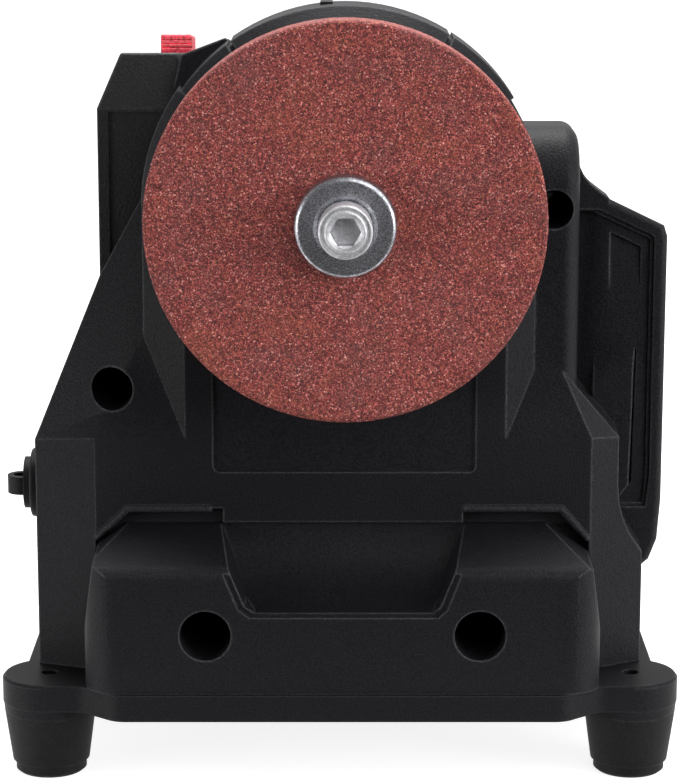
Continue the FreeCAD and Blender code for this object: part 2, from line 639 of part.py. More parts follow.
def end_bell():
    """Near end bell: a disc on the can with a hub that holds the bearing."""
    bell = turned([(-BELL_END, BEARING_R), (-BELL_END, BELL_HUB_R), (-CAN_HALF - 2.5, BELL_HUB_R),
                   (-CAN_HALF - 2.5, CAN_R), (-CAN_HALF, CAN_R), (-CAN_HALF, CAN_R - CAN_WALL - 2.6),
                   (-CAN_HALF - 0.5, CAN_R - CAN_WALL - 2.6), (-CAN_HALF - 0.5, BELL_HOLE_R),
                   (-BEARING_Y, BELL_HOLE_R), (-BEARING_Y, BEARING_R)])
    for sign in (-1, 1):
        bell = bell.cut(rod_y(AXLE_X, AXLE_Z + sign * BOLT_OFFSET, BOLT_R, -60, 0))
    for turn in (0, 60, 120, 180, 240, 300):
        hole = rod_y(AXLE_X + 10.6, AXLE_Z, 2.0, -36, -28)
        hole.rotate(V(AXLE_X, 0, AXLE_Z), V(0, 1, 0), turn)
        bell = bell.cut(hole.common(box(-30, 30, -BEARING_Y + 0.6, -28, 80, 140)))
    return bell


def bearing():
    """Near ball bearing: two rings with a sunk shield between them."""
    y0 = -BEARING_Y - BEARING_W
    y1 = -BEARING_Y
    bore = SHAFT_R + SHAFT_GAP
    return turned([(y0, bore), (y0, 5.6), (y0 + 0.5, 5.6), (y0 + 0.5, 9.4), (y0, 9.4), (y0, BEARING_R),
                   (y1, BEARING_R), (y1, 9.4), (y1 - 0.5, 9.4), (y1 - 0.5, 5.6), (y1, 5.6), (y1, bore)])


def motor_bolts():
    group = []
    for sign in (-1, 1):
        z = AXLE_Z + sign * BOLT_OFFSET
        body = rod_y(AXLE_X, z, BOLT_R, -CAN_HALF - 2.5, CAN_HALF + 2.5)
        group.append(body.fuse(rod_y(AXLE_X, z, 2.2, -CAN_HALF - 4.4, -CAN_HALF - 2.5)))
    return Part.makeCompound(group)


def brush_holder():
    """Moulded ring at the commutator end with a square guide for each brush."""
    ring = axle_rod(CAN_R - CAN_WALL, 22.0, 30.4).cut(axle_rod(8.0, 21, 31))
    ring = ring.cut(axle_rod(16.6, 28.0, 31).cut(axle_rod(0.5, 27, 32)))
    ring = ring.cut(box(AXLE_X - 20, AXLE_X + 20, 23.4, 27.0, AXLE_Z - 2.6, AXLE_Z + 2.6))
    for sign in (-1, 1):
        ring = ring.cut(rod_y(AXLE_X, AXLE_Z + sign * BOLT_OFFSET, BOLT_R, 20, 32))
    return ring


def brushes():
    left = box(AXLE_X - 14.0, AXLE_X - COMMUTATOR_R - 0.1, 23.5, 26.9, AXLE_Z - 2.5, AXLE_Z + 2.5)
    right = box(AXLE_X + COMMUTATOR_R + 0.1, AXLE_X + 14.0, 23.5, 26.9, AXLE_Z - 2.5, AXLE_Z + 2.5)
    gap = axle_rod(COMMUTATOR_R + 0.1, 22, 28)
    return Part.makeCompound([left.cut(gap), right.cut(gap)])


def helix(radius, pitch, height, wire_r, place):
    """Coil spring standing on its place, along +Z, with turns of one pitch."""
    path = Part.makeHelix(pitch, height, radius)
    section = Part.Wire(Part.makeCircle(wire_r, V(radius, 0, 0), V(0, 1, 0)))
    coil = Part.Wire(path.Edges).makePipeShell([section], True, True)
    coil.translate(V(*place))
    return coil


def brush_springs():
    group = []
    for sign in (-1, 1):
        coil = helix(1.3, 1.1, 4.2, 0.25, (0, 0, 0))
        coil.rotate(V(0, 0, 0), V(0, 1, 0), 90)
        start = 14.35 if sign > 0 else -18.55
        coil.translate(V(AXLE_X + start, 25.2, AXLE_Z))
        group.append(coil)
    return Part.makeCompound(group)


def spindle_shaft():
    """Steel shaft with a threaded hole in its near end."""
    lead = 0.4
    shaft = turned([(-SHAFT_NEAR, 0.0), (-SHAFT_NEAR, SHAFT_R - lead), (-SHAFT_NEAR + lead, SHAFT_R),
                    (SHAFT_FAR - lead, SHAFT_R), (SHAFT_FAR, SHAFT_R - lead), (SHAFT_FAR, 0.0)])
    return shaft.cut(axle_rod(SCREW_R, -SHAFT_NEAR - 1, -SCREW_TIP + 2))


def rotor_core():
    core = axle_rod(ROTOR_R, -ROTOR_HALF, ROTOR_HALF).cut(axle_rod(SHAFT_R, -40, 40))
    for i in range(ROTOR_SLOTS):
        neck = box(AXLE_X + 12, AXLE_X + 20, -40, 40, AXLE_Z - 0.7, AXLE_Z + 0.7)
        room = rod_y(AXLE_X + 11.0, AXLE_Z, 2.3, -40, 40)
        slot = neck.fuse(room)
        slot.rotate(V(AXLE_X, 0, AXLE_Z), V(0, 1, 0), 360.0 * i / ROTOR_SLOTS)
        core = core.cut(slot)
    return core


def rotor_windings():
    """Wire bundles in the slots, joined by a rounded ring at each end of the core."""
    tip = ROTOR_HALF + 5.4
    rings = turned([(-tip, 8.0), (-tip, 11.4), (-tip + 1.8, WINDING_R), (-ROTOR_HALF, WINDING_R),
                    (-ROTOR_HALF, 6.0), (-tip + 1.6, 6.0)])
    rings = rings.fuse(far(rings))
    for i in range(ROTOR_SLOTS):
        bundle = rod_y(AXLE_X + 11.0, AXLE_Z, 2.2, -ROTOR_HALF - 1, ROTOR_HALF + 1)
        bundle.rotate(V(AXLE_X, 0, AXLE_Z), V(0, 1, 0), 360.0 * i / ROTOR_SLOTS)
        rings = rings.fuse(bundle)
    return rings


def commutator():
    body = axle_rod(COMMUTATOR_R, 21.2, 29.8).cut(axle_rod(SHAFT_R, 20, 31))
    for i in range(COMMUTATOR_BARS):
        groove = box(AXLE_X + COMMUTATOR_R - 0.7, AXLE_X + COMMUTATOR_R + 1, 20, 31, AXLE_Z - 0.2, AXLE_Z + 0.2)
        groove.rotate(V(AXLE_X, 0, AXLE_Z), V(0, 1, 0), 360.0 * i / COMMUTATOR_BARS)
        body = body.cut(groove)
    return body


def cooling_fan():
    fan = axle_rod(7.0, -29.6, -22.6).cut(axle_rod(SHAFT_R, -31, -20))
    fan = fan.fuse(axle_rod(FAN_R, -23.8, -22.6).cut(axle_rod(SHAFT_R, -31, -20)))
    for i in range(9):
        blade = box(AXLE_X + 6.0, AXLE_X + FAN_R - 0.4, -29.0, -23.0, AXLE_Z - 0.5, AXLE_Z + 0.5)
        blade.rotate(V(AXLE_X, 0, AXLE_Z), V(0, 1, 0), 40.0 * i)
        fan = fan.fuse(blade)
    return fan


def inner_flange():
    """Inner flange: a long hub with a disc behind the wheel, and the spigot that the wheel sits on."""
    back = -BEARING_Y - BEARING_W - RUN_GAP
    tip = -WHEEL_BACK - WHEEL_W + 1.3
    return turned([(back, SHAFT_R), (back, 5.5), (-46.4, 5.5), (-46.8, 7.6), (-47.2, 8.0), (-56.6, 8.0), (-59.2, 10.6),
                   (-59.6, 11.0), (-WHEEL_BACK, 11.0), (-WHEEL_BACK, WHEEL_BORE_R), (tip, WHEEL_BORE_R),
                   (tip, SHAFT_R)])


def wheel():
    """Wheel: a plain disc with a slightly broken edge."""
    front = -WHEEL_BACK - WHEEL_W
    edge = 0.5
    return turned([(front, WHEEL_BORE_R), (front, WHEEL_R - edge), (front + edge, WHEEL_R),
                   (-WHEEL_BACK - edge, WHEEL_R), (-WHEEL_BACK, WHEEL_R - edge), (-WHEEL_BACK, WHEEL_BORE_R)])


def outer_flange():
    """Outer flange: a dished washer with a rounded rim."""
    back = -WHEEL_BACK - WHEEL_W
    inner = FLANGE_R - FLANGE_RIM
    rim = [(back - FLANGE_RIM * (1 + math.sin(math.radians(a))), inner + FLANGE_RIM * math.cos(math.radians(a)))
           for a in (0, 30, 60, 90)]
    hole = SCREW_R + 0.1
    return turned([(back, 6.4), (back, FLANGE_R - 0.2), (back - 0.3, FLANGE_R)] + rim
                  + [(back - FLANGE_H, 7.0), (back - FLANGE_H, hole), (back - 1.2, hole), (back - 1.2, 6.0)])


def clamp_screw():
    """Socket-head screw that pulls the outer flange against the wheel."""
    seat = -WHEEL_BACK - WHEEL_W - FLANGE_H
    top = seat - SCREW_HEAD_H
    head = turned([(seat, 0.0), (seat, SCREW_HEAD_R), (top + 0.6, SCREW_HEAD_R), (top, SCREW_HEAD_R - 0.6),
                   (top, 0.0)])
    corner = 2.5 / math.cos(math.radians(30))
    hexagon = [(AXLE_X + corner * math.cos(math.radians(60 * i)), AXLE_Z + corner * math.sin(math.radians(60 * i)))
               for i in range(6)]
    head = head.cut(prism_y(hexagon, top - 1, top + 3.4))
    head = head.cut(turned([(top - 0.1, 0.0), (top - 0.1, 3.3), (top + 0.5, 2.6), (top + 0.5, 0.0)]))
    return head.fuse(axle_rod(SCREW_R, seat, -SCREW_TIP))


def taper_spindle():
    """Tapered screw spindle on the far end of the shaft, for felt buffs, with a coarse thread."""
    start = BEARING_Y + BEARING_W + RUN_GAP
    turns = 9
    pitch = 2.4
    first = 56.0
    profile = [(start, SHAFT_R), (start, 5.5), (46.6, 5.5), (47.0, 7.6), (47.4, 8.0), (53.6, 8.0), (54.2, 7.4),
               (54.2, 6.2)]
    for i in range(turns):
        root = 5.6 - 0.36 * i
        profile += [(first + i * pitch - 0.5, root), (first + i * pitch + 0.7, root + 0.7),
                    (first + i * pitch + 1.3, root)]
    profile += [(TAPER_TIP - 1.2, 2.0), (TAPER_TIP, 0.9), (TAPER_TIP, 0.0), (SHAFT_FAR, 0.0), (SHAFT_FAR, SHAFT_R)]
    body = turned(profile)
    for angle in (0, 180):
        flat = box(AXLE_X + 6.6, AXLE_X + 12, 48.4, 52.6, AXLE_Z - 9, AXLE_Z + 9)
        flat.rotate(V(AXLE_X, 0, AXLE_Z), V(0, 1, 0), angle)
        body = body.cut(flat)
    return body


def battery_case():
    """Lower shell of the pack, open on top, with slots under it for the contact blades."""
    side = 0.5
    body = box(PACK_X0 + side, PACK_X1, -PACK_HALF + side, PACK_HALF - side, PACK_Z0, PACK_LID_Z)
    body = round_edges(body, 1.2, lambda p, e: abs(p.z - PACK_Z0) < 0.01)
    frame = box(PACK_X0, PACK_X1, -PACK_HALF, PACK_HALF, PACK_LID_Z - 0.7, PACK_LID_Z)
    for y0, y1 in ((-PACK_HALF, -PACK_HALF + 2.4), (PACK_HALF - 2.4, PACK_HALF)):
        frame = frame.fuse(box(PACK_X0, PACK_X0 + 2.2, y0, y1, PACK_Z0 + 1.4, PACK_LID_Z))
    body = body.fuse(frame)
    body = body.cut(box(PACK_X0 + side + PACK_WALL, PACK_X1 - PACK_WALL, -CELL_HALF - 0.2, CELL_HALF + 0.2,
                        PACK_Z0 + PACK_WALL, PACK_LID_Z + 1))
    for y in CONTACT_YS:
        body = body.cut(box(CONTACT_X - 0.8, CONTACT_X + 0.8, y - 2.6, y + 2.6, PACK_Z0 - 1, PACK_Z0 + 3))
    return body


def lid_corner(inset):
    """Everything outside the bevelled near corner of the lid, next to the drum."""
    slope = V(53.0, -53.0, 34.3).normalize()
    return half_space(tuple(V(-30.1, -32.0, 135.5) - slope * inset), tuple(slope))


def battery_lid():
    """Cap of the pack: a sloping near face, a bevelled outer edge, the top falling to the far end."""
    outline = [(PACK_X0, PACK_LID_Z), (PACK_X1, PACK_LID_Z), (PACK_X1, PACK_TOP), (-43.1, PACK_TOP)]
    body = prism_y(outline, -PACK_HALF, PACK_HALF)
    lean = 2.8
    body = body.cut(half_space((0, -PACK_HALF, PACK_LID_Z), (0, PACK_LID_Z - PACK_TOP, lean)))
    body = body.cut(half_space((0, PACK_HALF, PACK_LID_Z), (0, 5.0, 1.2)))
    body = body.cut(half_space((0, -PACK_HALF + lean, PACK_TOP), (0, PACK_FALL, 1.0)))
    body = body.cut(lid_corner(0))
    body = round_edges(body, 0.8, lambda p, e: p.z > PACK_LID_Z + 0.1)
    hollow = prism_y([(PACK_X0 + 2.6, PACK_LID_Z - 1), (PACK_X1 - PACK_WALL, PACK_LID_Z - 1),
                      (PACK_X1 - PACK_WALL, PACK_TOP), (-42.4, PACK_TOP)], -29.4, 30.4)
    hollow = hollow.cut(half_space((0, -PACK_HALF + lean, PACK_TOP - 1.3), (0, PACK_FALL, 1.0)))
    hollow = hollow.fuse(box(PACK_X0 + 2.3, PACK_X1 - PACK_WALL, -CELL_HALF - 0.2, CELL_HALF + 0.2,
                             PACK_LID_Z - 1, SPRING_Z))
    body = body.cut(hollow.cut(lid_corner(1.5)))
    gap = 0.3
    hole = box(BUTTON_X - BUTTON_W / 2 - gap, BUTTON_X + BUTTON_W / 2 + gap, BUTTON_Y - BUTTON_L / 2 - gap,
               BUTTON_Y + BUTTON_L / 2 + gap, PACK_TOP - 4, PACK_TOP + 1)
    return body.cut(hole)


def battery_cells():
    cells = []
    for i in range(3):
        z = CELL_Z0 + CELL_R + i * CELL_PITCH
        cell = rod_y(CELL_X, z, CELL_R, -CELL_HALF + 1.0, CELL_HALF - 0.4)
        cells.append(cell.fuse(rod_y(CELL_X, z, 2.8, -CELL_HALF + 0.2, -CELL_HALF + 1.0)))
    return Part.makeCompound(cells)


def cell_cover():
    """Thin inner cover over the cells, which the button's spring stands on."""
    z = CELL_Z0 + 3 * CELL_PITCH
    plate = box(-44.2, -26.0, -27.0, 27.0, SPRING_Z - 0.6, SPRING_Z)
    for y in (-26.0, 25.0):
        plate = plate.fuse(box(-44.2, -26.0, y, y + 1.0, z - 0.1, SPRING_Z))
    return plate


def pack_contacts():
    """Brass clips inside the pack that grip the blades."""
    clips = []
    for y in CONTACT_YS:
        clip = box(CONTACT_X - 1.1, CONTACT_X + 1.1, y - 2.0, y + 2.0, PACK_Z0 + PACK_WALL + 0.2, 91.0)
        gap = BLADE_T / 2 + 0.1
        clip = clip.cut(box(CONTACT_X - gap, CONTACT_X + gap, y - 3, y + 3, PACK_Z0, 89.5))
        clips.append(clip)
    return Part.makeCompound(clips)


def release_button():
    """Red thumb button, its near face grooved and its top falling back, with a flange under the lid."""
    x0 = BUTTON_X - BUTTON_W / 2
    x1 = BUTTON_X + BUTTON_W / 2
    y0 = BUTTON_Y - BUTTON_L / 2
    y1 = BUTTON_Y + BUTTON_L / 2
    top = PACK_TOP + BUTTON_UP
    body = box(x0, x1, y0, y1, BUTTON_FLANGE_Z, top).cut(half_space((BUTTON_X, y0, top), (0, 0.11, 1)))
    body = round_edges(body, 0.5, lambda p, e: p.z > PACK_TOP + 1)
    for i in range(3):
        z = top - 1.25 - i * 0.78
        body = body.cut(box(x0 - 1, x1 + 1, y0 - 1, y0 + 0.35, z, z + 0.3))
    return body.fuse(box(x0 - 1.2, x1 + 1.2, y0 - 1.2, y1 + 1.2, BUTTON_FLANGE_Z, BUTTON_FLANGE_Z + 0.9))


def latch_spring():
    """Short coil spring between the inner cover and the button."""
    rise = BUTTON_FLANGE_Z - SPRING_Z - 2 * SPRING_WIRE
    return helix(SPRING_COIL_R, rise / 2.5, rise, SPRING_WIRE, (BUTTON_X, BUTTON_Y, SPRING_Z + SPRING_WIRE))


def terminal_block():
    """Block under the bay floor with three upright contact blades."""
    body = box(-31.0, -24.2, -13.0, 13.0, 72.5, BAY_FLOOR)
    for y in CONTACT_YS:
        body = body.cut(box(CONTACT_X - BLADE_T / 2, CONTACT_X + BLADE_T / 2, y - BLADE_W / 2, y + BLADE_W / 2,
                            70, BAY_FLOOR + 1))
    return body


def bay_blades():
    blades = []
    for y in CONTACT_YS:
        blade = box(CONTACT_X - BLADE_T / 2, CONTACT_X + BLADE_T / 2, y - BLADE_W / 2, y + BLADE_W / 2, 70.5, 89.0)
        blades.append(blade)
    return Part.makeCompound(blades)


def control_panel():
    """Panel in the pod's window, with a lip behind it, a dial recess and a switch opening."""
    body = box(60.9, PANEL_X, -PANEL_Y, PANEL_Y, PANEL_Z0, PANEL_Z1)
    body = round_edges(body, 0.4, lambda p, e: abs(p.x - PANEL_X) < 0.01)
    body = body.fuse(box(59.7, 60.9, -PANEL_Y - 2.4, PANEL_Y + 2.4, PANEL_Z0 - 2.4, PANEL_Z1 + 2.4))
    body = body.cut(rod_x(DIAL_Y, DIAL_Z, DIAL_R + 0.5, DIAL_BACK - 0.3, PANEL_X + 1))
    body = body.cut(rod_x(DIAL_Y, DIAL_Z, POT_SHAFT_R + 0.5, 58, PANEL_X))
    gap = 0.35
    body = body.cut(rod_y(ROCKER_PIVOT_X, ROCKER_Z, PIN_R + 0.05, ROCKER_Y - 6.0, ROCKER_Y + 6.0))
    return body.cut(box(58, 70, ROCKER_Y - ROCKER_HALF_W - gap, ROCKER_Y + ROCKER_HALF_W + gap,
                        ROCKER_Z - ROCKER_R - gap, ROCKER_Z + ROCKER_R + gap))


def speed_dial():
    """Low round knob with a fluted rim and a pointer groove, on its short shaft."""
    body = rod_x(DIAL_Y, DIAL_Z, DIAL_R, DIAL_BACK, DIAL_FACE)
    body = round_edges(body, 0.7, lambda p, e: abs(p.x - DIAL_FACE) < 0.01)
    for i in range(24):
        flute = rod_x(DIAL_Y + DIAL_R + 0.35, DIAL_Z, 0.75, DIAL_BACK - 1, DIAL_FACE + 1)
        flute.rotate(V(0, DIAL_Y, DIAL_Z), V(1, 0, 0), 15.0 * i)
        body = body.cut(flute)
    body = body.cut(box(DIAL_FACE - 0.6, DIAL_FACE + 1, DIAL_Y - 0.5, DIAL_Y + 0.5, DIAL_Z + 2.5, DIAL_Z + 8.0))
    return body.fuse(rod_x(DIAL_Y, DIAL_Z, POT_SHAFT_R, 53.0, DIAL_BACK))


def speed_control():
    """Rotary control on the board that the dial's shaft turns in."""
    body = rod_x(DIAL_Y, DIAL_Z, 8.0, 52.0, 58.2)
    body = body.fuse(box(BOARD_X + BOARD_T, 52.0, DIAL_Y - 6, DIAL_Y + 6, DIAL_Z - 8, DIAL_Z + 6))
    return body.cut(rod_x(DIAL_Y, DIAL_Z, POT_SHAFT_R + SHAFT_GAP, 52.6, 60.0))


def power_rocker():
    """Rocker for off and on, tilted to off, with its pin and the nib that works the switch."""
    half = ROCKER_R - 0.25
    outline = [(-half, 0.2), (-half + 0.35, 3.4), (-half + 0.9, 4.3), (0.0, 3.5), (half - 0.9, 4.3),
               (half - 0.35, 3.4), (half, 0.2), (half - 1.4, -1.2), (1.4, -1.2), (0.8, -4.4), (-0.8, -4.4),
               (-1.4, -1.2), (-half + 1.4, -1.2)]
    points = [V(ROCKER_PIVOT_X + x, ROCKER_Y - ROCKER_HALF_W, ROCKER_Z + z) for z, x in outline]
    body = Part.Face(Part.makePolygon(points + points[:1])).extrude(V(0, 2 * ROCKER_HALF_W, 0))
    body = body.makeFillet(0.3, [e for e in body.Edges if e.BoundBox.XMin > ROCKER_PIVOT_X + 3.0])
    body = body.fuse(rod_y(ROCKER_PIVOT_X, ROCKER_Z, PIN_R, ROCKER_Y - ROCKER_HALF_W - 0.9,
                           ROCKER_Y + ROCKER_HALF_W + 0.9))
    body.rotate(V(ROCKER_PIVOT_X, ROCKER_Y, ROCKER_Z), V(0, 1, 0), ROCKER_TILT)
    return body


def switch_body():
    """Case of the switch behind the panel, open towards the rocker, and its two tabs."""
    wall = ROCKER_HALF_W + 0.2
    body = box(51.6, 59.7, ROCKER_Y - 6.4, ROCKER_Y + 6.4, ROCKER_Z - 9.6, ROCKER_Z + 9.6)
    body = body.cut(box(56.0, 62, ROCKER_Y - wall, ROCKER_Y + wall, ROCKER_Z - 9.0, ROCKER_Z + 9.0))
    for y in (-4.0, 4.0):
        body = body.fuse(box(BOARD_X + BOARD_T, 51.6, ROCKER_Y + y - 0.4, ROCKER_Y + y + 0.4,
                             ROCKER_Z - 2.5, ROCKER_Z + 2.5))
    return body


def control_board():
    """Circuit board standing in grooves in the pod's end walls."""
    return box(BOARD_X, BOARD_X + BOARD_T, -31.0, 31.0, 47.2, 96.8)


def board_parts():
    """The taller parts on the board: two capacitors, a coil, a chip and a connector."""
    x0 = BOARD_X + BOARD_T
    parts = [rod_x(-24.0, 90.0, 3.0, x0, x0 + 8.0), rod_x(-24.0, 82.0, 3.0, x0, x0 + 8.0),
             rod_x(24.0, 53.0, 3.6, x0, x0 + 4.5), box(x0, x0 + 1.4, 6.0, 14.0, 49.0, 57.0),
             box(x0, x0 + 5.0, -26.0, -14.0, 49.0, 55.0), box(x0, x0 + 2.2, -6.0, 0.0, 48.5, 53.0)]
    return Part.makeCompound(parts)


def heat_sink():
    """Finned aluminium block on the inner side of the board."""
    body = box(40.0, BOARD_X, -10.0, 10.0, 64.0, 80.0)
    for i in range(5):
        y = -8.6 + i * 3.7
        body = body.cut(box(39.0, 46.2, y, y + 2.3, 60.0, 90.0))
    return body


def charge_inlet():
    """Round charging inlet behind the side wall, with its centre pin."""
    body = rod_x(INLET_Y, INLET_Z, INLET_R, -SIDE_X, -SIDE_X + WALL)
    body = body.fuse(box(-SIDE_X + WALL, -47.0, INLET_Y - 5.5, INLET_Y + 5.5, INLET_Z - 5.5, INLET_Z + 5.5))
    body = body.cut(rod_x(INLET_Y, INLET_Z, PLUG_STEM_R + 0.1, -SIDE_X - 1, -48.5))
    return body.fuse(rod_x(INLET_Y, INLET_Z, 0.8, -54.0, -48.5))


def dust_plug():
    """Rubber plug in the charging inlet: two steps, a hollow stem and a loop to pull it by."""
    face = -SIDE_X - 0.15
    body = rod_x(INLET_Y, INLET_Z, 6.9, face - 1.6, face)
    body = round_edges(body, 0.5, lambda p, e: abs(p.x - face + 1.6) < 0.01)
    body = body.fuse(rod_x(INLET_Y, INLET_Z, 5.2, face - 3.0, face - 1.6))
    loop_x = -PLUG_REACH + LOOP_R
    body = body.fuse(rod_z(loop_x, INLET_Y, LOOP_R, INLET_Z - 2.0, INLET_Z + 1.6))
    body = body.fuse(box(loop_x, face - 2.0, INLET_Y - 2.2, INLET_Y + 2.2, INLET_Z - 2.0, INLET_Z + 1.6))
    body = body.cut(rod_z(loop_x - 0.2, INLET_Y, 1.6, INLET_Z - 4, INLET_Z + 4))
    body = body.fuse(rod_x(INLET_Y, INLET_Z, PLUG_STEM_R, face, -50.0))
    return body.cut(rod_x(INLET_Y, INLET_Z, 1.2, -56.0, -49.0))


def lead(points, bend=3.0):
    """Insulated wire along a route with rounded corners."""
    pts = [V(*p) for p in points]
    edges = []
    at = pts[0]
    for a, b, c in zip(pts, pts[1:], pts[2:]):
        into = (b - a).normalize()
        out = (c - b).normalize()
        half_turn = into.getAngle(out) / 2
        cut = bend * math.tan(half_turn)
        start = b - into * cut
        end = b + out * cut
        middle = b + (out - into).normalize() * (bend / math.cos(half_turn) - bend)
        edges.append(Part.LineSegment(at, start).toShape())
        edges.append(Part.Arc(start, middle, end).toShape())
        at = end
    edges.append(Part.LineSegment(at, pts[-1]).toShape())
    route = Part.Wire(edges)
    first = (pts[1] - pts[0]).normalize()
    section = Part.Wire(Part.makeCircle(LEAD_R, pts[0], first))
    return route.makePipeShell([section], True, False)


def battery_leads():
    """Two wires from the bay blades, under the motor, to the board."""
    return Part.makeCompound([
        lead([(CONTACT_X, y, 70.5), (CONTACT_X, y, 64.0), (20.0, y + 1.0, 62.5), (BOARD_X, y + 2.0, 62.0)])
        for y in (CONTACT_YS[0], CONTACT_YS[2])])


def motor_leads():
    """Two wires from the motor's far end, down the column, to the board."""
    return Part.makeCompound([
        lead([(x, CAN_HALF + 2.5, 97.5), (x, 39.0, 97.0), (x + 1, 38.5, 72.0 + drop), (x + 12, 26.0, 67.0 + drop),
              (BOARD_X, 22.0, 67.0 + drop)])
        for x, drop in ((4.0, 0.0), (-4.0, 4.0))])


NODES = {
    "near_housing": near_housing,
    "far_housing": far_housing,
    "housing_screws": housing_screws,
    "base_plate": base_plate,
    "base_screws": base_screws,
    "motor_can": motor_can,
    "motor_magnets": motor_magnets,
    "near_end_bell": end_bell,
    "far_end_bell": lambda: far(end_bell()),
    "motor_bolts": motor_bolts,
    "near_bearing": bearing,
    "far_bearing": lambda: far(bearing()),
    "brush_holder": brush_holder,
    "brushes": brushes,
    "brush_springs": brush_springs,
    "spindle_shaft": spindle_shaft,
    "rotor_core": rotor_core,
    "rotor_windings": rotor_windings,
    "commutator": commutator,
    "cooling_fan": cooling_fan,
    "inner_flange": inner_flange,
    "grinding_wheel": wheel,
    "outer_flange": outer_flange,
    "clamp_screw": clamp_screw,
    "taper_spindle": taper_spindle,
    "battery_case": battery_case,
    "battery_lid": battery_lid,
    "battery_cells": battery_cells,
    "cell_cover": cell_cover,
    "pack_contacts": pack_contacts,
    "release_button": release_button,
    "latch_spring": latch_spring,
    "terminal_block": terminal_block,
    "bay_blades": bay_blades,
    "control_panel": control_panel,
    "speed_dial": speed_dial,
    "speed_control": speed_control,
    "power_rocker": power_rocker,
    "switch_body": switch_body,
    "control_board": control_board,
    "board_parts": board_parts,
    "heat_sink": heat_sink,
    "charge_inlet": charge_inlet,
    "dust_plug": dust_plug,
    "battery_leads": battery_leads,
    "motor_leads": motor_leads,
}

for name, build in NODES.items():
    build().exportStep(f"parts/{name}.step")
for (x, y), name in zip(ear_places(), ("near_left", "near_right", "far_left", "far_right")):
    foot(x, y).exportStep(f"parts/foot_{name}.step")
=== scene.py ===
import bmesh
import bpy
import json
import math
from mathutils import Matrix, Vector

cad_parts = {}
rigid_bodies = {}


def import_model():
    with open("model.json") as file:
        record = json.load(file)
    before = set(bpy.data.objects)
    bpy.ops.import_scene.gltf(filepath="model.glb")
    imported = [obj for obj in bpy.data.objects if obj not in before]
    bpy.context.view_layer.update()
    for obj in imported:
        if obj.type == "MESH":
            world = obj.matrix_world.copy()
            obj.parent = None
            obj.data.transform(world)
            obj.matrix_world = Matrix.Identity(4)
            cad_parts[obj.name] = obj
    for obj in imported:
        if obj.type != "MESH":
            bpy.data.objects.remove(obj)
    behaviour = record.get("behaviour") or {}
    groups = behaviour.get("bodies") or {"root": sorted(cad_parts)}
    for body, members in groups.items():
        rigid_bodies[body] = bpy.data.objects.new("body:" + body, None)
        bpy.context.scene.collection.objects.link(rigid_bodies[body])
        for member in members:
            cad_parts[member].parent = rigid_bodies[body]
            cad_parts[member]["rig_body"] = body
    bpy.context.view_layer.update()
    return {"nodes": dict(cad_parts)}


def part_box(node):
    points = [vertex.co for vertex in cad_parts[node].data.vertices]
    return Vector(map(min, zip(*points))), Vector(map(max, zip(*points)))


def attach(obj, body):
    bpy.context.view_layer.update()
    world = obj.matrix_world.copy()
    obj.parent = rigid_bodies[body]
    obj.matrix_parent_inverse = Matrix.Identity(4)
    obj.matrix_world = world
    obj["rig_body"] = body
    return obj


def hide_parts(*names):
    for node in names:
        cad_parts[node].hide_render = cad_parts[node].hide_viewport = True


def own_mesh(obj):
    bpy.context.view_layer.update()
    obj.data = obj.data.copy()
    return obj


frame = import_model()
mm = 0.001


# Base plate: one flat black moulding with an ear at each corner, closing the housing from below.
# Its face is finely spark-eroded, so it looks satin, and its edges are painted slightly lighter, partly as
# wear from handling and partly as a painted highlight. It is screwed up into the two housing halves.
def put(tree, kind, settings=None, **inputs):
    """Adds a shader node. An input named i3 is the fourth socket; another keeps its own name."""
    node = tree.nodes.new("ShaderNode" + kind)
    for key, value in (settings or {}).items():
        setattr(node, key, value)
    for key, value in inputs.items():
        by_number = key[0] == "i" and key[1:].isdigit()
        socket = node.inputs[int(key[1:]) if by_number else key.replace("_", " ")]
        if isinstance(value, bpy.types.NodeSocket):
            tree.links.new(value, socket)
        else:
            socket.default_value = value
    return node


def object_place(tree):
    """Where a point lies in the piece's own frame, which is the machine's frame at rest."""
    return put(tree, "TexCoord").outputs["Object"]


def times(tree, a, b):
    return put(tree, "Math", {"operation": "MULTIPLY"}, i0=a, i1=b).outputs[0]


def plus(tree, a, b):
    return put(tree, "Math", {"operation": "ADD"}, i0=a, i1=b).outputs[0]


def scaled(tree, colour, factor):
    """A colour made darker or lighter by a factor."""
    return put(tree, "VectorMath", {"operation": "SCALE"}, i0=colour, Scale=factor).outputs[0]


def spread(tree, value, low, high, new_low, new_high):
    """Takes a value from one range to another and stops it at the ends."""
    return put(tree, "MapRange", {"clamp": True}, Value=value, From_Min=low, From_Max=high,
               To_Min=new_low, To_Max=new_high).outputs[0]


def blend_colours(tree, share, first, second):
    return put(tree, "Mix", {"data_type": "RGBA"}, i0=share, i6=first, i7=second).outputs[2]


def new_group(name, inputs, outputs):
    """An empty node group with float inputs, and outputs given as name and socket type."""
    tree = bpy.data.node_groups.new(name, "ShaderNodeTree")
    for label, value in inputs.items():
        socket = tree.interface.new_socket(label, in_out="INPUT", socket_type="NodeSocketFloat")
        socket.default_value = value
    for label, kind in outputs.items():
        tree.interface.new_socket(label, in_out="OUTPUT", socket_type="NodeSocket" + kind)
    return tree, tree.nodes.new("NodeGroupInput"), tree.nodes.new("NodeGroupOutput")


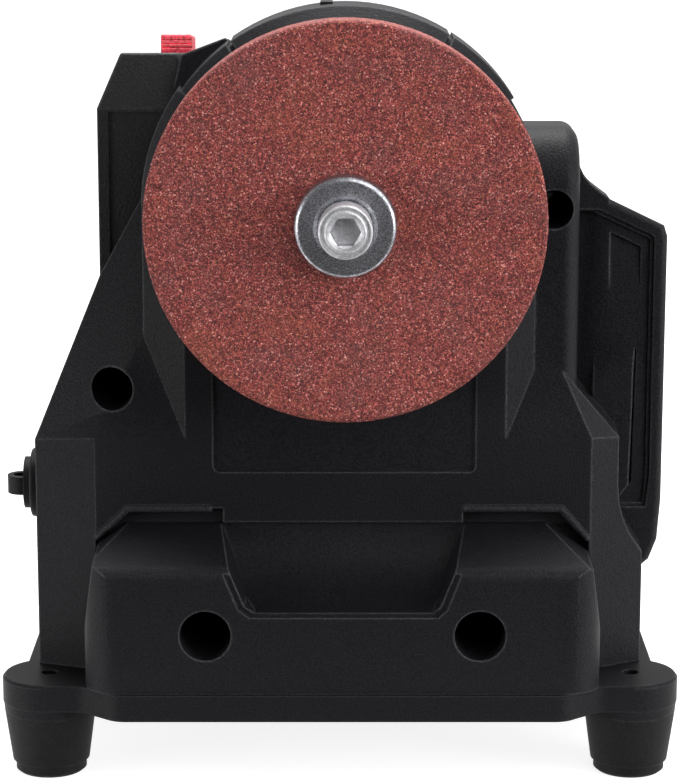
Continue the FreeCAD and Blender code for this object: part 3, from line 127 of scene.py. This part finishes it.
def make_moulded_skin():
    """Spark-eroded moulding: fine pits, a faint uneven gloss, and soft edges that are painted paler where
    they stand out, partly as wear and partly as a painted highlight along ridges. Inner corners are left
    out of the pale edge."""
    tree, given, out = new_group("moulded_skin",
                                 {"Grain": 3000.0, "Relief": 0.02 * mm, "Edge Radius": 0.5 * mm},
                                 {"Tone": "Float", "Edge": "Float", "Gloss": "Float", "Normal": "Vector"})
    place = object_place(tree)
    pits = put(tree, "TexNoise", Vector=place, Scale=given.outputs["Grain"], Detail=2.0, Roughness=0.6)
    cloud_scale = 55.0
    cloud = put(tree, "TexNoise", Vector=place, Scale=cloud_scale, Detail=3.0, Roughness=0.55)
    rounded = put(tree, "Bevel", {"samples": 6}, Radius=given.outputs["Edge Radius"])
    flat = put(tree, "NewGeometry").outputs["Normal"]
    lean = put(tree, "VectorMath", {"operation": "DOT_PRODUCT"}, i0=rounded.outputs[0], i1=flat)
    corner_reach = 1.2 * mm
    open_side = put(tree, "AmbientOcclusion", {"samples": 4, "only_local": True}, Distance=corner_reach)
    # Edge mask: convex edges are painted paler, partly as wear and partly as a painted highlight where
    # ridges catch the light. Inner corners are masked out.
    edge = times(tree, spread(tree, lean.outputs["Value"], 0.9997, 0.982, 0.0, 1.0),
                 spread(tree, open_side.outputs["AO"], 0.8, 0.97, 0.0, 1.0))
    relief = put(tree, "Bump", Height=pits.outputs[0], Distance=given.outputs["Relief"],
                 Normal=rounded.outputs[0])
    tree.links.new(spread(tree, pits.outputs[0], 0.34, 0.66, 0.45, 1.6), out.inputs["Tone"])
    tree.links.new(edge, out.inputs["Edge"])
    tree.links.new(spread(tree, cloud.outputs[0], 0.3, 0.7, -0.04, 0.04), out.inputs["Gloss"])
    tree.links.new(relief.outputs[0], out.inputs["Normal"])
    return tree


moulded_skin = make_moulded_skin()


def blank_finish(name, roughness=0.5, metallic=0.0):
    """A new material with the values that its shader keeps, ready for its nodes."""
    finish = bpy.data.materials.new(name)
    finish.use_nodes = True
    shader = finish.node_tree.nodes["Principled BSDF"]
    shader.inputs["Roughness"].default_value = roughness
    shader.inputs["Metallic"].default_value = metallic
    return finish, finish.node_tree, shader


def moulded(name, colour, edge_wear_and_highlight_colour, roughness, grain=3000.0, relief=0.02 * mm, edge=0.45 * mm,
            specular=0.5):
    """Moulded plastic or rubber: its colour in the flats and a paler one along edges, partly for wear and
    partly as a painted highlight.
    """
    finish, tree, shader = blank_finish(name, roughness)
    skin = put(tree, "Group", {"node_tree": moulded_skin}, Grain=grain, Relief=relief, Edge_Radius=edge)
    # The paler edge colour is partly wear and partly a painted highlight.
    worn_and_highlit = blend_colours(tree, skin.outputs["Edge"], (*colour, 1), (*edge_wear_and_highlight_colour, 1))
    tree.links.new(scaled(tree, worn_and_highlit, skin.outputs["Tone"]), shader.inputs["Base Color"])
    tree.links.new(plus(tree, skin.outputs["Gloss"], roughness), shader.inputs["Roughness"])
    tree.links.new(skin.outputs["Normal"], shader.inputs["Normal"])
    shader.inputs["Specular IOR Level"].default_value = specular
    return finish


def link_piece(mesh, name, finish, body, node):
    """Puts a finished mesh in the scene in place of the CAD node that it stands for."""
    piece = bpy.data.objects.new(name, mesh)
    bpy.context.scene.collection.objects.link(piece)
    mesh.materials.append(finish)
    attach(piece, body)
    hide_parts(node)
    return piece


def is_crisp(edge, sharp):
    """A hard edge, or a shallow ridge between two broad flats. The strips of a curve are neither."""
    broad_flat = 210 * mm * mm
    shallow_ridge = 6.5
    angle = math.degrees(edge.calc_face_angle(0.0))
    smaller_side = min((face.calc_area() for face in edge.link_faces), default=0.0)
    return angle > sharp or (smaller_side > broad_flat and angle > shallow_ridge)


def smooth_from(node, finish, sharp=32.0):
    """The CAD piece with its triangles merged, its curves smooth and its ridges kept crisp."""
    source = frame["nodes"][node]
    same_point = 0.002 * mm
    same_plane = math.radians(0.5)
    bm = bmesh.new()
    bm.from_mesh(source.data)
    bmesh.ops.remove_doubles(bm, verts=bm.verts, dist=same_point)
    bmesh.ops.dissolve_limit(bm, angle_limit=same_plane, verts=bm.verts, edges=bm.edges)
    for face in bm.faces:
        face.smooth = True
    for edge in bm.edges:
        edge.smooth = not is_crisp(edge, sharp)
    mesh = bpy.data.meshes.new(node + "_skin")
    bm.to_mesh(mesh)
    bm.free()
    extra = mesh.attributes.get("custom_normal")
    if extra:
        mesh.attributes.remove(extra)
    return link_piece(mesh, node + "_skin", finish, source["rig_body"], node)


base_black = moulded("base_black", (0.008, 0.0078, 0.009), (0.02, 0.02, 0.022), 0.5, grain=2900.0,
                     specular=0.1)
smooth_from("base_plate", base_black)


# Feet: four tapered rubber feet, pushed into sockets under the ears, each with a screw hole through it
# and a small step above its pad. The rubber is moulded, duller and darker than the plastic.
foot_rubber = moulded("foot_rubber", (0.004, 0.0038, 0.0045), (0.014, 0.014, 0.015), 0.6, grain=1500.0,
                      relief=0.03 * mm, specular=0.15)
for end in ("near", "far"):
    for side in ("left", "right"):
        smooth_from(f"foot_{end}_{side}", foot_rubber)


# Screws: rolled steel, plated with zinc. Four with a crossed slot close the housing from the near
# side, four with a straight slot hold the base plate from below, and two plain ones close the motor.
def make_drawn_metal():
    """Plated or ground metal: fine scratches, a faint stain and slightly rounded edges."""
    tree, given, out = new_group("drawn_metal",
                                 {"Scale": 900.0, "Relief": 0.004 * mm, "Edge Radius": 0.2 * mm},
                                 {"Gloss": "Float", "Stain": "Float", "Normal": "Vector"})
    place = object_place(tree)
    fine = put(tree, "TexNoise", Vector=place, Scale=given.outputs["Scale"], Detail=4.0, Roughness=0.7)
    stain_scale = 120.0
    stain = put(tree, "TexNoise", Vector=place, Scale=stain_scale, Detail=4.0, Roughness=0.6)
    rounded = put(tree, "Bevel", {"samples": 6}, Radius=given.outputs["Edge Radius"])
    relief = put(tree, "Bump", Height=fine.outputs[0], Distance=given.outputs["Relief"],
                 Normal=rounded.outputs[0])
    tree.links.new(spread(tree, fine.outputs[0], 0.3, 0.7, -0.05, 0.09), out.inputs["Gloss"])
    tree.links.new(spread(tree, stain.outputs[0], 0.35, 0.75, 0.0, 1.0), out.inputs["Stain"])
    tree.links.new(relief.outputs[0], out.inputs["Normal"])
    return tree


drawn_metal = make_drawn_metal()


def metal(name, colour, stained, roughness, scale=900.0):
    """Bare or plated metal: its clean colour and the one that it takes where it is stained."""
    finish, tree, shader = blank_finish(name, roughness, 1.0)
    skin = put(tree, "Group", {"node_tree": drawn_metal}, Scale=scale, Relief=0.004 * mm,
               Edge_Radius=0.2 * mm)
    tree.links.new(blend_colours(tree, skin.outputs["Stain"], (*colour, 1), (*stained, 1)),
                   shader.inputs["Base Color"])
    tree.links.new(plus(tree, skin.outputs["Gloss"], roughness), shader.inputs["Roughness"])
    tree.links.new(skin.outputs["Normal"], shader.inputs["Normal"])
    return finish


screw_steel = metal("screw_steel", (0.34, 0.34, 0.35), (0.26, 0.25, 0.24), 0.35)
for node in ("housing_screws", "base_screws", "motor_bolts"):
    smooth_from(node, screw_steel)


# Housing: two deep clamshells of glass-filled black plastic that meet in the middle of the machine.
# The near one carries the drum ring behind the wheel, the label recess and the four screw wells.
# Both are spark-eroded to a fine even grain and have softly broken edges.
# The paler edge colour is partly wear and partly a painted highlight along the ridges and beads.
housing_black = moulded("housing_black", (0.008, 0.0076, 0.0092), (0.042, 0.041, 0.046), 0.5,
                        grain=2700.0, relief=0.1 * mm, edge=0.6 * mm, specular=0.12)
for node in ("near_housing", "far_housing"):
    smooth_from(node, housing_black, sharp=24.0)


# Motor: a plated steel can with two magnets, closed by an end bell at each end that holds a ball
# bearing. A moulded ring at the far end carries two carbon brushes on small coil springs.
can_steel = metal("can_steel", (0.55, 0.55, 0.54), (0.42, 0.41, 0.39), 0.32)
bearing_steel = metal("bearing_steel", (0.62, 0.62, 0.63), (0.5, 0.5, 0.5), 0.22)
for node in ("motor_can", "near_end_bell", "far_end_bell"):
    smooth_from(node, can_steel)
for node in ("near_bearing", "far_bearing"):
    smooth_from(node, bearing_steel)

magnet_grey = moulded("magnet_grey", (0.05, 0.05, 0.055), (0.11, 0.11, 0.12), 0.6, grain=2000.0)
smooth_from("motor_magnets", magnet_grey)
holder_brown = moulded("holder_brown", (0.03, 0.02, 0.016), (0.06, 0.045, 0.035), 0.45)
smooth_from("brush_holder", holder_brown)
carbon_grey = moulded("carbon_grey", (0.02, 0.02, 0.022), (0.05, 0.05, 0.055), 0.4, grain=4000.0)
smooth_from("brushes", carbon_grey)
spring_wire = metal("spring_wire", (0.5, 0.5, 0.5), (0.4, 0.39, 0.38), 0.3)
smooth_from("brush_springs", spring_wire)


# Rotor: laminated steel core with lacquered copper in its slots, a copper commutator and a moulded
# cooling fan, all pressed on the ground steel spindle.
spindle_steel = metal("spindle_steel", (0.6, 0.6, 0.61), (0.5, 0.5, 0.5), 0.2)
smooth_from("spindle_shaft", spindle_steel)
smooth_from("rotor_core", can_steel)
copper_wire = metal("copper_wire", (0.62, 0.27, 0.12), (0.45, 0.17, 0.08), 0.28, scale=2500.0)
smooth_from("rotor_windings", copper_wire)
smooth_from("commutator", copper_wire)
fan_grey = moulded("fan_grey", (0.05, 0.05, 0.055), (0.1, 0.1, 0.11), 0.4)
smooth_from("cooling_fan", fan_grey)


# Grinding wheel: a bonded disc of red-brown aluminium oxide, pressed and fired. Single grains stand out of
# it, with painted shade in the pores between them, and its edges have crumbled a little. It is clamped
# between an inner and an outer flange.
wheel_low, wheel_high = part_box("grinding_wheel")
spindle_x = (wheel_low.x + wheel_high.x) / 2
spindle_z = (wheel_low.z + wheel_high.z) / 2
spindle_at = Vector((spindle_x, 0, spindle_z))
wheel_radius = (wheel_high.z - wheel_low.z) / 2


def turned(name, profile, steps, closed=True):
    """A body turned about the spindle's axis from (y, radius) points; closed joins last to first."""
    bm = bmesh.new()
    ring = [bm.verts.new((spindle_x, y, spindle_z + radius)) for y, radius in profile]
    edges = [bm.edges.new(pair) for pair in zip(ring, ring[1:])]
    if closed:
        edges.append(bm.edges.new((ring[-1], ring[0])))
    bmesh.ops.spin(bm, geom=ring + edges, cent=spindle_at, axis=(0, 1, 0), angle=2 * math.pi, steps=steps,
                   use_merge=True)
    same_point = 0.001 * mm
    bmesh.ops.remove_doubles(bm, verts=bm.verts, dist=same_point)
    bmesh.ops.recalc_face_normals(bm, faces=bm.faces)
    for face in bm.faces:
        face.smooth = True
    mesh = bpy.data.meshes.new(name)
    bm.to_mesh(mesh)
    bm.free()
    return mesh


def fine_line(points, step):
    """The same run of points with more between them, so that a turned face can be roughened."""
    line = []
    for (y0, r0), (y1, r1) in zip(points, points[1:]):
        parts = max(1, round(math.hypot(y1 - y0, r1 - r0) / step))
        line += [(y0 + (y1 - y0) * i / parts, r0 + (r1 - r0) * i / parts) for i in range(parts)]
    return line + points[-1:]


def make_abrasive():
    """Grains from dark to pale red with painted shade in the pores between them, and the relief that they
    stand in.
    A few are tan, and broad patches are greyer or browner than the rest."""
    finish, tree, shader = blank_finish("abrasive_red", 0.8)
    grain_scale = 3500.0
    grain_shift = 0.4 * mm
    place = object_place(tree)
    wander = put(tree, "TexNoise", Vector=place, Scale=1900.0, Detail=2.0)
    shifted = put(tree, "VectorMath", {"operation": "MULTIPLY_ADD"}, i0=wander.outputs["Color"],
                  i1=(grain_shift, grain_shift, grain_shift), i2=place).outputs[0]
    grains = put(tree, "TexVoronoi", {"feature": "F1"}, Vector=shifted, Scale=grain_scale)
    gaps = put(tree, "TexVoronoi", {"feature": "DISTANCE_TO_EDGE"}, Vector=shifted, Scale=grain_scale)
    lot = put(tree, "SeparateColor", i0=grains.outputs["Color"])
    tones = put(tree, "ValToRGB", i0=lot.outputs[0])
    ramp = tones.color_ramp
    ramp.elements[0].color = (0.08, 0.009, 0.009, 1)
    ramp.elements[1].color = (0.66, 0.3, 0.26, 1)
    for at, colour in ((0.25, (0.18, 0.023, 0.021, 1)), (0.6, (0.32, 0.054, 0.046, 1)),
                       (0.9, (0.46, 0.11, 0.09, 1))):
        ramp.elements.new(at).color = colour
    tan = spread(tree, lot.outputs[1], 0.965, 0.98, 0.0, 0.6)
    tinted = blend_colours(tree, tan, tones.outputs[0], (0.42, 0.17, 0.06, 1))
    cloud = put(tree, "TexNoise", Vector=place, Scale=150.0, Detail=4.0).outputs[0]
    greyer = blend_colours(tree, spread(tree, cloud, 0.5, 0.72, 0.0, 0.3), tinted, (0.17, 0.07, 0.07, 1))
    patchy = blend_colours(tree, spread(tree, cloud, 0.48, 0.3, 0.0, 0.3), greyer, (0.36, 0.085, 0.04, 1))
    # Painted shade: the gaps between grains are darkened towards near-black, as shade in the pores.
    pore_shade = spread(tree, gaps.outputs[0], 0.0, 0.16, 1.0, 0.0)
    deep = times(tree, pore_shade, spread(tree, lot.outputs[2], 0.3, 0.8, 0.3, 0.95))
    grains_and_pore_shade = blend_colours(tree, deep, patchy, (0.03, 0.006, 0.006, 1))
    dust = put(tree, "TexNoise", Vector=place, Scale=4300.0, Detail=1.0)
    dusty = scaled(tree, grains_and_pore_shade, spread(tree, dust.outputs[0], 0.3, 0.7, 0.15, 1.85))
    tree.links.new(dusty, shader.inputs["Base Color"])
    height = plus(tree, times(tree, lot.outputs[2], 0.6), spread(tree, gaps.outputs[0], 0.0, 0.3, 0.0, 0.5))
    relief = put(tree, "Bump", Height=height, Distance=0.1 * mm, Strength=1.0)
    tree.links.new(relief.outputs[0], shader.inputs["Normal"])
    return finish


abrasive_red = make_abrasive()
bore = 5.0 * mm
crumbled = 0.5 * mm
grit_step = 0.62 * mm
wheel_steps = 372
wheel_line = fine_line([(wheel_low.y, bore), (wheel_low.y, wheel_radius - crumbled),
                        (wheel_low.y + crumbled, wheel_radius), (wheel_high.y - crumbled, wheel_radius),
                        (wheel_high.y, wheel_radius - crumbled), (wheel_high.y, bore)], grit_step)
wheel_mesh = turned("grinding_wheel_grit", wheel_line, wheel_steps)
grinding_wheel = link_piece(wheel_mesh, "grinding_wheel_grit", abrasive_red, "spindle",
                            "grinding_wheel")
grit = bpy.data.textures.new("grit", "VORONOI")
grit.noise_scale = 0.55 * mm
crumble = grinding_wheel.modifiers.new("crumble", "DISPLACE")
crumble.texture = grit
crumble.texture_coords = "LOCAL"
crumble.strength = 0.05 * mm
crumble.mid_level = 0.75


# Flanges and clamp screw: the inner flange is ground steel. The outer one is a nickel-plated washer
# with a rolled rim and a flat face, held by a plated socket screw in the end of the spindle.
smooth_from("inner_flange", spindle_steel)


def arc(y, radius, bend, first, last, parts):
    """Points of a rounded corner in a turned profile, from one angle to another in degrees."""
    angles = [math.radians(first + (last - first) * i / parts) for i in range(parts + 1)]
    return [(y - bend * math.sin(a), radius + bend * math.cos(a)) for a in angles]


def plated(name, bright, dull, glossy, matt, speck):
    """Nickel plate: a mirror clouded by handling, with fine scratches and specks all over it."""
    finish, tree, shader = blank_finish(name, metallic=1.0)
    place = object_place(tree)
    specks = put(tree, "TexNoise", Vector=place, Scale=3300.0, Detail=2.0, Roughness=0.7).outputs[0]
    cloud = put(tree, "TexNoise", Vector=place, Scale=330.0, Detail=5.0, Roughness=0.7).outputs[0]
    stained = blend_colours(tree, spread(tree, cloud, 0.38, 0.62, 0.0, 1.0), (*bright, 1), (*dull, 1))
    speckled = scaled(tree, stained, spread(tree, specks, 0.38, 0.68, 1 - speck, 1 + speck * 2))
    relief = put(tree, "Bump", Height=specks, Distance=0.03 * mm, Strength=1.0)
    tree.links.new(speckled, shader.inputs["Base Color"])
    tree.links.new(spread(tree, cloud, 0.35, 0.65, glossy, matt), shader.inputs["Roughness"])
    tree.links.new(relief.outputs[0], shader.inputs["Normal"])
    return finish


bright_steel = plated("bright_steel", (0.45, 0.45, 0.49), (0.28, 0.28, 0.3), glossy=0.26, matt=0.42,
                      speck=0.4)
flange_low, flange_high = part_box("outer_flange")
flange_radius = (flange_high.z - flange_low.z) / 2
rim_bend = 1.1 * mm
back_chamfer = 0.3 * mm
face_edge = flange_radius - rim_bend
screw_hole = 3.1 * mm
seat_y = flange_low.y + 0.25 * mm
seat_edge, seat_radius = 5.9 * mm, 5.5 * mm
hub_floor = flange_high.y - 1.2 * mm
hub_radius, hub_mouth = 6.0 * mm, 6.4 * mm
flange_line = [(flange_high.y, hub_mouth), (flange_high.y, flange_radius - back_chamfer),
               (flange_high.y - back_chamfer, flange_radius)]
flange_line += arc(flange_low.y + rim_bend, face_edge, rim_bend, 0, 90, 8)
flange_line += [(flange_low.y, face_edge - 0.1 * mm), (flange_low.y, seat_edge + 0.1 * mm),
                (flange_low.y, seat_edge), (seat_y, seat_radius), (seat_y, screw_hole),
                (hub_floor, screw_hole), (hub_floor, hub_radius)]
flange_mesh = turned("outer_flange_plated", flange_line, steps=128)
flange_mesh.set_sharp_from_angle(angle=math.radians(40))
link_piece(flange_mesh, "outer_flange_plated", bright_steel, "spindle", "outer_flange")

# The screw's outline goes from the drill point in the socket over the head's face, whose rings are
# given as depth and radius in millimetres, and back down the thread to the screw's end.
screw_low, screw_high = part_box("clamp_screw")
screw_bright = plated("screw_bright", (0.72, 0.72, 0.74), (0.5, 0.5, 0.52), glossy=0.5, matt=0.6,
                      speck=0.12)
head_radius = (screw_high.z - screw_low.z) / 2
head_bend = 0.4 * mm
head_chamfer = 0.15 * mm
thread_radius = 3.0 * mm
socket_flat = 2.5 * mm
socket_floor = screw_low.y + 3.4 * mm
drill_point = 0.6 * mm
face_rings = [(0.75, 2.5), (0.6, 2.96), (0.5, 3.05), (0.12, 3.3), (0.0, 3.42), (0.0, 3.62), (0.14, 3.75),
              (0.2, 3.95), (0.2, 4.2), (0.34, 4.28), (0.34, 4.38), (0.12, 4.5)]
head_line = [(socket_floor + drill_point, 0.0), (socket_floor, socket_flat - 0.2 * mm),
             (socket_floor, socket_flat)]
head_line += [(screw_low.y + deep * mm, radius * mm) for deep, radius in face_rings]
head_line += arc(screw_low.y + head_bend + 0.1 * mm, head_radius - head_bend, head_bend, 80, 0, 7)
head_line += [(flange_low.y - head_chamfer, head_radius), (flange_low.y, head_radius - head_chamfer),
              (flange_low.y, thread_radius), (screw_high.y, thread_radius), (screw_high.y, 0.0)]
screw_mesh = turned("clamp_screw_plated", head_line, steps=96, closed=False)
# The turned socket is pushed out to a hexagon, from its floor up to the chamfer at its mouth.
for vertex in screw_mesh.vertices:
    out = Vector((vertex.co.x - spindle_x, 0, vertex.co.z - spindle_z))
    if abs(out.length - socket_flat) < 0.02 * mm and vertex.co.y < socket_floor + 0.01 * mm:
        turn = math.atan2(out.z, out.x) % math.radians(60) - math.radians(30)
        vertex.co += out * (1 / math.cos(turn) - 1)
screw_mesh.set_sharp_from_angle(angle=math.radians(38))
link_piece(screw_mesh, "clamp_screw_plated", screw_bright, "spindle", "clamp_screw")
smooth_from("taper_spindle", spindle_steel)


# Battery pack: a moulded case with a welded cap, holding three slim cells under a thin inner cover,
# and brass clips that grip the blades in the bay. The case is coarser in grain than the housing.
pack_black = moulded("pack_black", (0.0065, 0.0063, 0.0072), (0.024, 0.024, 0.026), 0.52, grain=2000.0,
                     relief=0.16 * mm, edge=0.5 * mm, specular=0.3)
for node in ("battery_case", "battery_lid", "cell_cover"):
    smooth_from(node, pack_black)

cell_sleeve = moulded("cell_sleeve", (0.03, 0.12, 0.4), (0.05, 0.2, 0.55), 0.3, grain=600.0,
                      relief=0.005 * mm)
smooth_from("battery_cells", cell_sleeve)
contact_brass = metal("contact_brass", (0.72, 0.52, 0.24), (0.6, 0.4, 0.17), 0.25)
for node in ("pack_contacts", "bay_blades"):
    smooth_from(node, contact_brass)
smooth_from("terminal_block", base_black)


# Release button: red moulded plastic, its top falling back and three grip grooves in its near face.
# It stands on a small coil spring of steel wire.
button_red = moulded("button_red", (1.0, 0.06, 0.1), (1.0, 0.3, 0.33), 0.4, grain=1500.0,
                     relief=0.01 * mm, edge=0.3 * mm)
smooth_from("release_button", button_red)
latch_spring = smooth_from("latch_spring", spring_wire)
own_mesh(latch_spring)


# Controls: a smooth black panel in the pod's side with a fluted speed dial on a rotary control, and
# a rocker for off and on over its switch case. A bar and a ring are printed on the rocker, and a plain
# scale round the dial, from its rest with the pointer up to its stop after 270 degrees.
def between(tree, value, low, high):
    """1 where a value lies between two bounds, 0 elsewhere."""
    above = put(tree, "Math", {"operation": "GREATER_THAN"}, i0=value, i1=low).outputs[0]
    below = put(tree, "Math", {"operation": "LESS_THAN"}, i0=value, i1=high).outputs[0]
    return times(tree, above, below)


def from_point(tree, y, z):
    """How far a place on the panel is along Y and Z from a point, and in a straight line."""
    place = put(tree, "SeparateXYZ", Vector=object_place(tree))
    along, up = plus(tree, place.outputs[1], -y), plus(tree, place.outputs[2], -z)
    squares = plus(tree, times(tree, along, along), times(tree, up, up))
    return along, up, put(tree, "Math", {"operation": "SQRT"}, i0=squares).outputs[0]


def print_white(finish, mark):
    """Prints a mark in white ink over a finish."""
    tree = finish.node_tree
    colour = tree.nodes["Principled BSDF"].inputs["Base Color"]
    inked = blend_colours(tree, mark, colour.links[0].from_socket, (0.55, 0.55, 0.53, 1))
    tree.links.new(inked, colour)


def knob_black(name):
    """The finer, glossier black plastic of the two pieces that fingers turn and press."""
    return moulded(name, (0.016, 0.016, 0.017), (0.05, 0.05, 0.053), 0.36, grain=2500.0,
                   relief=0.008 * mm, edge=0.3 * mm)


panel_black = moulded("panel_black", (0.008, 0.0078, 0.009), (0.04, 0.04, 0.044), 0.42, grain=3200.0,
                      specular=0.2)
dial_low, dial_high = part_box("speed_dial")
dial_y, dial_z = (dial_low.y + dial_high.y) / 2, (dial_low.z + dial_high.z) / 2
scale_radius = (dial_high.z - dial_low.z) / 2 + 1.9 * mm
tick_half = 0.6 * mm
half_pitch = math.radians(13.5)
half_scale = math.radians(137)
# The angle is measured from the middle of the scale, which points down towards the rocker.
inks = panel_black.node_tree
along, up, away = from_point(inks, dial_y, dial_z)
turn = put(inks, "Math", {"operation": "ARCTAN2"}, i0=plus(inks, along, times(inks, up, -1.0)),
           i1=times(inks, plus(inks, along, up), -1.0)).outputs[0]
off_tick = put(inks, "Math", {"operation": "PINGPONG"}, i0=turn, i1=half_pitch).outputs[0]
tick = times(inks, between(inks, off_tick, -1.0, math.radians(1.1)),
             between(inks, away, scale_radius - tick_half, scale_radius + tick_half))
print_white(panel_black, times(inks, tick, between(inks, turn, -half_scale, half_scale)))
smooth_from("control_panel", panel_black)
smooth_from("speed_dial", knob_black("dial_black"))

rocker_black = knob_black("rocker_black")
rocker_low, rocker_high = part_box("power_rocker")
rocker_y, rocker_z = (rocker_low.y + rocker_high.y) / 2, (rocker_low.z + rocker_high.z) / 2
mark_at = 4.2 * mm
bar_across, bar_tall = 0.3 * mm, 1.3 * mm
ring_inner, ring_outer = 1.0 * mm, 1.5 * mm
inks = rocker_black.node_tree
along, up, away = from_point(inks, rocker_y, rocker_z + mark_at)
bar = times(inks, between(inks, along, -bar_across, bar_across), between(inks, up, -bar_tall, bar_tall))
away = from_point(inks, rocker_y, rocker_z - mark_at)[2]
print_white(rocker_black, plus(inks, bar, between(inks, away, ring_inner, ring_outer)))
smooth_from("power_rocker", rocker_black)
smooth_from("speed_control", fan_grey)
smooth_from("switch_body", base_black)


# Electronics: a lacquered green board standing in grooves, with its taller parts, a finned
# aluminium block and soft insulated leads to the battery blades and to the brushes.
board_green = moulded("board_green", (0.01, 0.11, 0.035), (0.1, 0.16, 0.07), 0.3, grain=500.0)
smooth_from("control_board", board_green)
smooth_from("board_parts", fan_grey)
sink_metal = metal("sink_metal", (0.72, 0.72, 0.73), (0.6, 0.6, 0.6), 0.35)
smooth_from("heat_sink", sink_metal)
lead_red = moulded("lead_red", (0.35, 0.02, 0.02), (0.4, 0.04, 0.04), 0.45)
for node in ("battery_leads", "motor_leads"):
    smooth_from(node, lead_red, sharp=60.0)


# Charging inlet and dust plug: the inlet is screwed behind the left wall. The plug is soft black
# rubber with a finger loop, pushed into it.
smooth_from("charge_inlet", fan_grey)
smooth_from("dust_plug", foot_rubber)


# Table and light: a pale table top that ends just in front of the machine. The room is dim towards
# the front and bright behind. A low lamp on each side lights the flanks, a large soft one stands high
# in front and another hangs overhead, so the tops and side faces are lit most.
def flat_sheet(name, across, deep, at):
    """A level rectangle of the given size, which belongs to the scene and not to the machine."""
    bm = bmesh.new()
    bmesh.ops.create_grid(bm, x_segments=1, y_segments=1, size=0.5)
    place = Matrix.Translation(at) @ Matrix.Diagonal((across, deep, 1, 1))
    bmesh.ops.transform(bm, matrix=place, verts=bm.verts)
    mesh = bpy.data.meshes.new(name)
    bm.to_mesh(mesh)
    bm.free()
    sheet = bpy.data.objects.new(name, mesh)
    bpy.context.scene.collection.objects.link(sheet)
    return sheet


def seen_directly(tree):
    """1 for the camera and for reflections and glass, 0 for the light that falls on things."""
    path = put(tree, "LightPath")
    either = put(tree, "Math", {"operation": "MAXIMUM"}, i0=path.outputs["Is Camera Ray"],
                 i1=path.outputs["Is Glossy Ray"]).outputs[0]
    return put(tree, "Math", {"operation": "MAXIMUM"}, i0=either,
               i1=path.outputs["Is Transmission Ray"]).outputs[0]


def make_table_white():
    """Matt white board, faintly mottled, which the camera sees brighter than it shines."""
    finish, tree, shader = blank_finish("table_white", 0.9)
    mottle = put(tree, "TexNoise", Vector=object_place(tree), Scale=14.0, Detail=3.0)
    tree.links.new(blend_colours(tree, mottle.outputs[0], (0.4, 0.4, 0.4, 1), (0.44, 0.44, 0.44, 1)),
                   shader.inputs["Base Color"])
    shader.inputs["Specular IOR Level"].default_value = 0.1
    shader.inputs["Emission Color"].default_value = (1, 1, 1, 1)
    glow = 0.85
    tree.links.new(times(tree, seen_directly(tree), glow), shader.inputs["Emission Strength"])
    return finish


table_front = -0.125
table_back = 4.0
table_width = 8.0
table_top = flat_sheet("table_top", table_width, table_back - table_front,
                       (0, (table_back + table_front) / 2, 0))
table_top.data.materials.append(make_table_white())


def soft_lamp(name, at, width, height, power):
    """A large soft lamp that faces the middle of the machine."""
    light = bpy.data.lights.new(name, "AREA")
    light.shape = "RECTANGLE"
    light.size = width
    light.size_y = height
    light.energy = power
    lamp = bpy.data.objects.new(name, light)
    bpy.context.scene.collection.objects.link(lamp)
    lamp.location = at
    machine_middle = Vector((0, 0, 0.08))
    lamp.rotation_euler = (machine_middle - Vector(at)).to_track_quat("-Z", "Y").to_euler()


soft_lamp("lamp_right", (0.9, -0.5, 0.2), 0.4, 0.3, 5.5)
soft_lamp("lamp_left", (-0.9, -0.5, 0.1), 0.5, 0.16, 5.4)
soft_lamp("lamp_front", (0.6, -0.75, 0.8), 1.3, 0.9, 10.5)
soft_lamp("lamp_over", (0.05, 0.3, 1.0), 0.7, 0.5, 17.0)

world = bpy.data.worlds.new("studio")
bpy.context.scene.world = world
world.use_nodes = True
sky = world.node_tree
shade = sky.nodes["Background"]
shade.inputs["Color"].default_value = (1, 1, 1, 1)
heading = put(sky, "SeparateXYZ", Vector=put(sky, "TexCoord").outputs["Generated"])
room = spread(sky, heading.outputs[1], -0.5, 0.6, 0.12, 1.0)
camera_share = put(sky, "LightPath").outputs["Is Camera Ray"]
sky.links.new(put(sky, "Mix", i0=camera_share, i2=room, i3=1.0).outputs[0], shade.inputs["Strength"])


# Camera: a long lens in front of the wheel, a little above the spindle, tipped down twelve degrees.
# Its focal length is worked out in the pixels of a picture that is 781 pixels tall.
picture_tall = 781
focal_pixels = 2800
tip = math.radians(12)
lens = bpy.data.cameras.new("camera")
lens.sensor_width = 36.0
lens.lens = lens.sensor_width * focal_pixels / picture_tall
camera = bpy.data.objects.new("camera", lens)
bpy.context.scene.collection.objects.link(camera)
camera.location = (0.0, -0.582, 0.190)
camera.rotation_euler = (math.radians(90) - tip, 0, 0)
bpy.context.scene.camera = camera
bpy.context.scene.view_settings.view_transform = "Standard"
